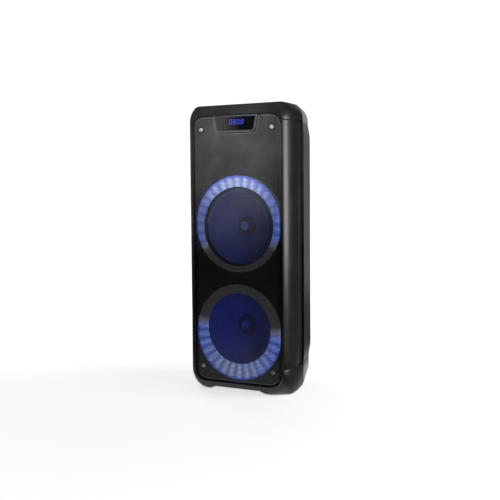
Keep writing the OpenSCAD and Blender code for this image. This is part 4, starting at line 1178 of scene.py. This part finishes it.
def tinted_window():
    """Smoked acrylic: see-through head on, glossy from the side, with a few fine swirls and a painted
    reflection from grey on the left to black on the right.
    """
    g = Graph("display_glass")
    swirl = g.noise(90, detail=4, stretch=(1, 1, 3))
    clear = g.node("BsdfTransparent", {"Color": g.mix(swirl, (0.22, 0.22, 0.26), (0.27, 0.27, 0.31))})
    # painted reflection: the colour runs from grey on the left to black on the right
    across = g.ramp(g.axes()[0], -0.055, 0.02)
    smoke_with_painted_reflection = g.mix(across, (0.026, 0.026, 0.027), (0.0015, 0.0015, 0.0022))
    gloss = g.principled(color=smoke_with_painted_reflection, rough=g.math("MULTIPLY_ADD", swirl, 0.06, 0.06),
                         normal=g.bump(swirl, 0.00001, 0.3), specular=0.8)
    facing = g.node("LayerWeight", {"Blend": 0.4}).outputs["Facing"]
    share = g.math("MULTIPLY_ADD", facing, 0.45, 0.42)
    return g.surface(g.node("MixShader", {0: share, 1: clear, 2: gloss}))


def lamp_plastic(name, glow, power):
    """Translucent figure lit from behind, a little brighter in the middle of each bar."""
    g = Graph(name)
    cloud = g.noise(500, detail=2)
    level = g.math("MULTIPLY", power, g.math("MULTIPLY_ADD", cloud, 0.6, 0.7))
    return g.surface(g.principled(color=(0.03, 0.03, 0.05), rough=0.4, glow=glow, glow_power=level,
                                  normal=g.bump(cloud, 0.00003, 0.3)))


GLOSS_FRAME = grained("display_frame", (0.022, 0.022, 0.024), 0.42, grain_mm=0.5, grain_depth=0.01, coat=0.3,
                      coat_rough=0.15)
WINDOW = tinted_window()
DIGIT_LIT = lamp_plastic("digit_light", (0.1, 0.13, 1.0), 34.0)
DIGIT_DIM = lamp_plastic("digit_unlit", (0.05, 0.05, 0.6), 0.6)
MODULE_FACE = grained("display_mask", (0.006, 0.006, 0.008), 0.35, grain_mm=0.3, grain_depth=0.01)


def build_display_module():
    middle = node_mid("display_module") * (1, 0, 1)
    block = plate(55.8, 17.8, 1.2, [(-10.9, 0), (-5.9, 0), (-5.5, 0.4)], middle, face="front")
    mask = plate(111.0, 36.0, 4.0, [(-12.5, 0), (-11.05, 0), (-10.95, 0.15)], (0, 0, 664.5), face="front")
    piece("display_block", *block, MODULE_FACE, slot="display_glass", stands_for=("display_module",))
    piece("display_mask", *mask, MODULE_FACE, slot="display_glass")


build_display()
build_digits()
build_display_module()

# ---------------------------------------------------------------- controls

KNOB_Y, BUTTON_Y = 138.0, 78.0
BUTTON_W, BUTTON_D = 20.0, 10.0
PANEL_TOP = PANEL_Z + 2.5
BOARD_Z = TRAY_FLOOR - 12
SHAFT_Z = BOARD_Z + 3.2
BUTTONS = ("mode", "previous", "play", "next", "light", "record")
WHITE_INK = grained("white_ink", (0.62, 0.63, 0.65), 0.45, grain_mm=0.4, grain_depth=0.005, spread=0.06)


# each dial's CAD node, body, x, radius, height and ribs; then its scale's radius, marks and their length
DIALS = {
    "volume_dial": ("volume_knob", "volume_control", 0.0, 20.0, 12.4, 36, (23.5, 25, 2.2)),
    "mic_dial": ("mic_knob", "mic_control", -60.0, 8.0, 11.0, 18, (11.5, 11, 1.5)),
    "echo_dial": ("echo_knob", "echo_control", 60.0, 8.0, 11.0, 18, (11.5, 11, 1.5)),
}


def button_x(i):
    return (i - 2.5) * 26


def ribbed_knob(name, node, body, x, r, h, ribs):
    """A knob whose grip is scalloped, with a shallow dish on top and a pointer let into it."""
    base = PANEL_TOP + 0.4
    angles = turns(ribs * 10)
    scallop = (0.5 + 0.5 * np.cos(angles * ribs)) ** 0.7
    out = r + 0.35
    rows = [(0.05, SHAFT_Z - base, 0), (2.95, SHAFT_Z - base, 0), (2.95, 0.02, 0), (out - 1.0, 0.02, 0)]
    rows += [(out - 0.2, 0.25, 0.6), (out, 1.0, 1), (out, h * 0.5, 1), (out, h - 2.4, 1)]
    rows += [(out - 0.25, h - 1.5, 0.8), (out - 0.9, h - 0.6, 0.3), (out - 1.7, h - 0.12, 0)]
    rows += [(out - 2.4, h, 0), (out - 3.0, h - 0.05, 0), (out - 3.8, h - 0.45, 0)]
    rows += [(r * 0.45, h - 0.6, 0), (0.05, h - 0.62, 0)]
    loops = []
    for radius, height, grip in rows:
        ring = radius - grip * 0.8 * (1 - scallop)
        plan = np.column_stack([x + ring * np.cos(angles), KNOB_Y + ring * np.sin(angles)])
        loops.append(level(plan, base + height))
    piece(name, *loft(loops), KNOB, body, "gloss_plastic", stands_for=(node,), angle=42)
    length = r * 0.42
    layers = [(base + h - 0.7, 0), (base + h - 0.25, 0), (base + h - 0.18, 0.1)]
    mark = plate(1.1, length, 0.5, layers, (x, KNOB_Y + out - 4.2 - length / 2, 0), steps=4)
    piece(name + "_pointer", *mark, WHITE_INK, body, "gloss_plastic")


def symbol(kind):
    """Plans of a key's plain symbol about its middle, a few millimetres wide: no words or marks."""
    def bar(x0, x1, y0=-1.6, y1=1.6):
        return [(x0, y0), (x1, y0), (x1, y1), (x0, y1)]

    def arrow(base, tip, half=1.6):
        side = math.copysign(half, base - tip)
        return [(base, -side), (base, side), (tip, 0)]

    if kind == "light":
        return [disc(0, 0, 1.0, 20)] + [stick(0, 0, t, 1.5, 2.4, 0.2) for t in turns(8)]
    return {
        "mode": [bar(-2.4, 2.4, 1.1, 1.6), bar(-2.4, 2.4, -0.25, 0.25), bar(-2.4, 2.4, -1.6, -1.1)],
        "previous": [arrow(2.6, 0.1), arrow(0.1, -2.4), bar(-2.9, -2.45)],
        "play": [arrow(-2.6, 0.4, 1.7), bar(1.1, 1.7), bar(2.3, 2.9)],
        "next": [arrow(-2.6, -0.1), arrow(-0.1, 2.4), bar(2.45, 2.9)],
        "record": [disc(0, 0, 1.5, 20)],
    }[kind]


def build_fascia():
    layers = [(PANEL_Z + 0.02, 0.3), (PANEL_Z + 0.3, 0), (PANEL_TOP - 0.4, 0), (PANEL_TOP - 0.1, 0.12),
              (PANEL_TOP, 0.45)]
    shape = plate(2 * TRAY_HW - 7, TRAY_Y1 - TRAY_Y0 - 7, 7.5, layers, (0, TRAY_MID, 0), steps=12)
    panel = piece("control_fascia", *shape, GLOSS, slot="gloss_plastic", stands_for=("control_panel",),
                  ride=False)
    layers = [(PANEL_Z - 2, 0), (PANEL_TOP - 0.3, 0), (PANEL_TOP + 0.2, -0.5)]
    for i in range(len(BUTTONS)):
        boolean(panel, plate(BUTTON_W + 0.6, BUTTON_D + 0.6, 2.3, layers, (button_x(i), BUTTON_Y, 0)))
    for x in sorted(dial[2] for dial in DIALS.values()):
        boolean(panel, prism(disc(x, KNOB_Y, 4.2, 48), 690, 712))
    finish(panel, 30)


def build_key(i, kind):
    body, x, z0 = kind + "_key", button_x(i), PANEL_Z - 3.2
    layers = [(z0, -1.5), (z0 + 1, -1.5), (z0 + 1.02, 0), (PANEL_TOP + 1.2, 0), (PANEL_TOP + 1.7, 0.15),
              (PANEL_TOP + 1.95, 0.5), (PANEL_TOP + 2.0, 0.9), (PANEL_TOP + 1.8, 2.6)]
    cap = plate(BUTTON_W, BUTTON_D, 2, layers, (x, BUTTON_Y, 0))
    stem = prism(disc(x, BUTTON_Y, 2, 32), BOARD_Z + 7.1, z0 + 0.2)
    piece("key_" + kind, *join([cap, stem]), KEY, body, "housing_plastic", stands_for=("button_" + kind,))
    plans = [np.array(plan) + (x, BUTTON_Y) for plan in symbol(kind)]
    marks = [prism(plan, PANEL_TOP + 1.7, PANEL_TOP + 1.9) for plan in plans]
    piece("key_mark_" + kind, *join(marks), WHITE_INK, body, "housing_plastic")


def build_scale():
    """Marks round each dial, over 280 degrees, with every sixth and the two ends longer."""
    ticks = []
    for dial in DIALS.values():
        x, (r, count, length) = dial[2], dial[6]
        for k in range(count):
            reach = length * (1.5 if k % 6 == 0 or k == count - 1 else 1)
            plan = stick(x, KNOB_Y, math.radians(230 - 280 * k / (count - 1)), r, r + reach, 0.22)
            ticks.append(prism(plan, PANEL_TOP - 0.1, PANEL_TOP + 0.06))
    piece("dial_scale", *join(ticks), WHITE_INK, slot="gloss_plastic")


build_fascia()
for i, kind in enumerate(BUTTONS):
    build_key(i, kind)
for name, dial in DIALS.items():
    ribbed_knob(name, *dial[:6])
build_scale()

# ---------------------------------------------------------------- back

SKIN = 2.2                       # how far a plate stands out of the back
PLATE_Y = BODY_D + 0.05
CUT = (200, 260)                 # depths that pass right through a plate
MIC_X = (-40.0, -14.0)
LINE_X = 14
JACK_Z = IO_Z + 30
INLET_X = -26.0
SWITCH_X, SWITCH_Z = 34.0, IO_Z - 24
USB_X = 40.0


def back_hole(x, z, half_width, half_height):
    return slab(x - half_width, x + half_width, *CUT, z - half_height, z + half_height)


def build_connector_plate():
    """The plate screwed on the back, with softened edges and real openings."""
    layers = [(PLATE_Y, 0.2), (PLATE_Y + 0.2, 0), (PLATE_Y + SKIN - 0.7, 0), (PLATE_Y + SKIN - 0.2, 0.25),
              (PLATE_Y + SKIN, 0.75)]
    shape = plate(IO_W, IO_H, 5, layers, (0, 0, IO_Z), face="back", steps=10)
    obj = piece("connector_plate", *shape, SATIN_REAR, slot="housing_plastic", stands_for=("rear_panel",),
                ride=False)
    box = slab(SWITCH_X - 9.2, SWITCH_X + 9.2, 226, BODY_D + 1, SWITCH_Z - 13, SWITCH_Z + 13)
    boolean(obj, box, "UNION")
    holes = [drum(x, JACK_Z, 6.2, *CUT, 48) for x in MIC_X]
    holes += [drum(LINE_X, JACK_Z, 4.2, *CUT, 40), back_hole(USB_X, JACK_Z, 7, 3.6),
              back_hole(INLET_X, SWITCH_Z, 14.2, 10.2), back_hole(SWITCH_X, SWITCH_Z, 7.2, 11.2)]
    across, up = IO_W / 2 - 4.5, IO_H / 2 - 4.5
    holes += [drum(x * across, IO_Z + z * up, 2, *CUT, 32) for x in (-1, 1) for z in (-1, 1)]
    angles = turns(40)
    y, z = BODY_D - 1 + 1.6 * np.cos(angles), SWITCH_Z + 1.6 * np.sin(angles)
    pivot = np.column_stack([np.zeros(40), y, z])
    holes.append(loft([pivot + (x, 0, 0) for x in (SWITCH_X - 8.4, SWITCH_X + 8.4)]))
    for hole in holes:
        boolean(obj, hole)
    finish(obj, 30)


def build_port():
    steps = [(1.9, -110), (1.9, -0.02), (8.6, -0.02), (9, 0.3), (8.8, 1.1), (8.0, 1.7), (6.6, 2.1)]
    steps += [(5.0, 2.15), (3.4, 1.75), (2.0, 0.7), (1.0, -1.2), (0.3, -4), (-0.2, -9), (-0.4, -16)]
    steps += [(-0.4, -104), (0.2, -109)]
    flare = [(PORT_R + grow, depth) for grow, depth in steps]
    piece("port_tube", *lathe(flare, (0, PLATE_Y, PORT_Z), BACKWARD, 128), GLOSS_FRAME, slot="gloss_plastic",
          stands_for=("bass_port",))


def build_handle():
    w, h = HANDLE_W - 15, HANDLE_H - 15
    face = PLATE_Y + SKIN
    middle = (0, 0, HANDLE_Z)
    rim = [(PLATE_Y, 0.2), (PLATE_Y + 0.2, 0), (face - 0.8, 0), (face - 0.25, 0.3), (face, 0.9)]
    shape = plate(HANDLE_W, HANDLE_H, 16, rim, middle, face="back", steps=12)
    cup = piece("handle_pocket", *shape, SATIN_REAR, slot="housing_plastic", stands_for=("handle_cup",),
                ride=False)
    walls = [(BODY_D - 34, 2), (BODY_D - 32, 0.3), (BODY_D - 30, 0), (BODY_D + 1, 0)]
    boolean(cup, plate(w, h, 12, walls, middle, face="back", steps=12), "UNION")
    pocket = [(BODY_D - 31, 3), (BODY_D - 30.6, 1.5), (BODY_D - 29.4, 0.4), (BODY_D - 27, 0)]
    pocket += [(face - 2.4, 0), (face - 1.2, -0.3), (face - 0.4, -1.0), (face, -2.0), (face + 3, -2.0)]
    boolean(cup, plate(w - 6, h - 6, 9, pocket, middle, face="back", steps=12))
    for side in (-1, 1):
        boolean(cup, drum(side * (HANDLE_W / 2 - 4), HANDLE_Z, 2, *CUT, 32))
    finish(cup, 32)


def build_jacks():
    mic = [(3.3, -18), (3.3, 5.6), (3.6, 6.1), (4.4, 6.3), (5.6, 6.3), (6.0, 5.9), (6.0, -1), (8.0, -1.1),
           (8.0, -24), (4.5, -25)]
    line = [(1.85, -12), (1.85, 5.8), (2.1, 6.2), (3.6, 6.3), (4.0, 5.9), (4.0, -1), (5.5, -1.1),
            (5.5, -17), (3.0, -17.5)]
    bushings = [lathe(mic, (x, 237, JACK_Z), BACKWARD, 64) for x in MIC_X]
    bushings.append(lathe(line, (LINE_X, 237, JACK_Z), BACKWARD, 56))
    piece("jack_bushings", *join(bushings), GLOSS_FRAME, slot="gloss_plastic", stands_for=("audio_sockets",))
    nuts = []
    for x, r0, r1 in [(x, 6.25, 8.6) for x in MIC_X] + [(LINE_X, 4.2, 6.2)]:
        profile = [(r0, 0), (r1, 0), (r1, 0.7), (r1 - 0.35, 1.0), (r0 + 0.2, 1.0), (r0, 0.8)]
        nuts.append(lathe(profile, (x, BODY_D + SKIN + 0.1, JACK_Z), BACKWARD, 64))
    piece("jack_collars", *join(nuts), PLATED, slot="plated_steel")


build_connector_plate()
build_port()
build_handle()
build_jacks()

# ---------------------------------------------------------------- CAD nodes shown as they are


def dress(node, material, angle=35, edge=0.0):
    """Gives a carried-over CAD node its finish, smooth shading and, where it has corners, softened edges."""
    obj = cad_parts[node]
    obj.data.materials.clear()
    obj.data.materials.append(material)
    for polygon in obj.data.polygons:
        polygon.material_index = 0
    smooth(obj, angle)
    if edge:
        m = obj.modifiers.new("edge", "BEVEL")
        m.width = edge / 1000
        m.segments = 2
        m.limit_method = "ANGLE"
        m.angle_limit = math.radians(40)


for which in ("upper", "lower"):
    dress("led_board_" + which, LED_BOARD, edge=0.1)
    dress("woofer_frame_" + which, BASKET)
    dress("woofer_gasket_" + which, RUBBER)
    dress("woofer_plate_" + which, PLATED, edge=0.4)
    dress("woofer_magnet_" + which, FERRITE, edge=0.8)
    dress("woofer_yoke_" + which, PLATED, edge=0.5)
    dress("voice_coil_" + which, COPPER)
    dress("spider_" + which, SPIDER, angle=60)
dress("rubber_feet", RUBBER, edge=0.3)
dress("woofer_screws", DARK_STEEL, angle=40)
dress("housing_screws", DARK_STEEL, angle=40)
dress("control_board", BOARD, edge=0.1)
dress("usb_socket", PLATED, edge=0.15)
dress("mains_inlet", GLOSS_FRAME, edge=0.3)
dress("power_switch", KEY, angle=30, edge=0.4)
dress("amplifier_board", BOARD, edge=0.15)
dress("heat_sink", ALUMINIUM, edge=0.2)
dress("power_supply", BOARD, edge=0.15)
dress("battery_pack", BATTERY, edge=1.2)
dress("speaker_cables", CABLE, angle=60)

# ---------------------------------------------------------------- studio

CAMERA_SPOT = Vector((1.0865, -2.0016, 0.503))
YAW, PITCH, ROLL = (math.radians(a) for a in (29.098, 3.869, -0.457))

# where each light hangs, what it points at, its size in metres, its power in watts and its spread in degrees
LIGHTS = {
    "strip_right": ((1.47, 0.36, 0.53), (0.12, -0.1, 0.47), (0.85, 0.72), 12, 180),
    "strip_right_soft": ((1.35, 0.65, 0.53), (0.12, -0.1, 0.5), (0.6, 0.6), 1.5, 180),
    "side_key": ((1.75, -0.55, 0.65), (-0.12, -0.12, 0.45), (0.5, 1.0), 1.5, 90),
    "strip_left": ((-1.3, 0.85, 0.6), (-0.13, -0.1, 0.4), (0.9, 1.2), 9, 180),
    "strip_back": ((-0.35, 1.9, 0.7), (0.0, 0.1, 0.4), (0.7, 1.4), 2.3, 180),
    "grille_wash": ((0.3, -1.05, 0.95), (-0.01, -0.12, 0.635), (0.1, 0.05), 1.45, 28),
    "overhead": ((0.3, -0.3, 2.1), (0, 0, 0.6), (1.8, 1.6), 1.2, 180),
}
NO_GLINT = ("grille_wash",)      # lights that don't show in shiny surfaces


def build_camera():
    forward = Vector((-math.sin(YAW) * math.cos(PITCH), math.cos(YAW) * math.cos(PITCH), -math.sin(PITCH)))
    right = Vector((math.cos(YAW), math.sin(YAW), 0))
    up = right.cross(forward)
    side = right * math.cos(ROLL) + up * math.sin(ROLL)
    top = up * math.cos(ROLL) - right * math.sin(ROLL)
    camera = bpy.data.objects.new("camera", bpy.data.cameras.new("camera"))
    camera.data.lens = 63.45
    camera.data.sensor_width = 36
    turn = Matrix((side, top, -forward)).transposed().to_4x4()
    camera.matrix_world = Matrix.Translation(CAMERA_SPOT) @ turn
    bpy.context.scene.collection.objects.link(camera)
    bpy.context.scene.camera = camera


def build_light(name, place, aim, size, power, spread):
    lamp = bpy.data.lights.new(name, "AREA")
    lamp.shape = "RECTANGLE"
    lamp.size, lamp.size_y = size
    lamp.energy = power
    lamp.spread = math.radians(spread)
    obj = bpy.data.objects.new(name, lamp)
    obj.location = place
    obj.rotation_euler = (Vector(aim) - Vector(place)).to_track_quat("-Z", "Y").to_euler()
    obj.visible_glossy = name not in NO_GLINT
    bpy.context.scene.collection.objects.link(obj)


def build_floor():
    """A floor that the camera sees nearly white, and that lights the object's right side less."""
    mesh = bpy.data.meshes.new("floor")
    mesh.from_pydata([(-30, -30, 0), (30, -30, 0), (30, 30, 0), (-30, 30, 0)], [], [(0, 1, 2, 3)])
    floor = bpy.data.objects.new("floor", mesh)
    bpy.context.scene.collection.objects.link(floor)
    g = Graph("floor_paper")
    paper = g.noise(3, detail=3)
    distance = g.node("VectorMath", {0: g.place()}, operation="LENGTH").outputs["Value"]
    view = g.node("LightPath").outputs["Is Camera Ray"]
    shade = g.mix(view, (0.1, 0.1, 0.1), g.mix(paper, (0.84, 0.84, 0.85), (0.88, 0.88, 0.89)))
    seen = g.math("MULTIPLY_ADD", g.ramp(distance, 0.3, 2.2), 0.45, 0.68)
    left = g.math("MULTIPLY", g.ramp(g.axes()[0], 0.22, 0.1), g.ramp(distance, 0.6, 0.25))
    lit = g.math("MULTIPLY_ADD", left, 0.95, 0.05)
    glow = g.math("MULTIPLY_ADD", view, g.math("SUBTRACT", seen, lit), lit)
    paper = g.principled(color=shade, rough=0.8, specular=0.1, glow=(1.0, 1.0, 1.0), glow_power=glow)
    mesh.materials.append(g.surface(paper))


def build_world():
    """White for the camera, and nearly dark for what it lights."""
    world = bpy.data.worlds.new("studio")
    world.use_nodes = True
    tree = world.node_tree
    tree.nodes.clear()
    mix = tree.nodes.new("ShaderNodeMixShader")
    tree.links.new(tree.nodes.new("ShaderNodeLightPath").outputs["Is Camera Ray"], mix.inputs[0])
    for socket, color, strength in ((1, (0.97, 0.98, 1, 1), 0.06), (2, (1, 1, 1, 1), 1.05)):
        background = tree.nodes.new("ShaderNodeBackground")
        background.inputs[0].default_value = color
        background.inputs[1].default_value = strength
        tree.links.new(background.outputs[0], mix.inputs[socket])
    tree.links.new(mix.outputs[0], tree.nodes.new("ShaderNodeOutputWorld").inputs[0])
    bpy.context.scene.world = world
    bpy.context.scene.view_settings.view_transform = "Standard"


build_camera()
build_floor()
build_world()
for name, light in LIGHTS.items():
    build_light(name, *light)
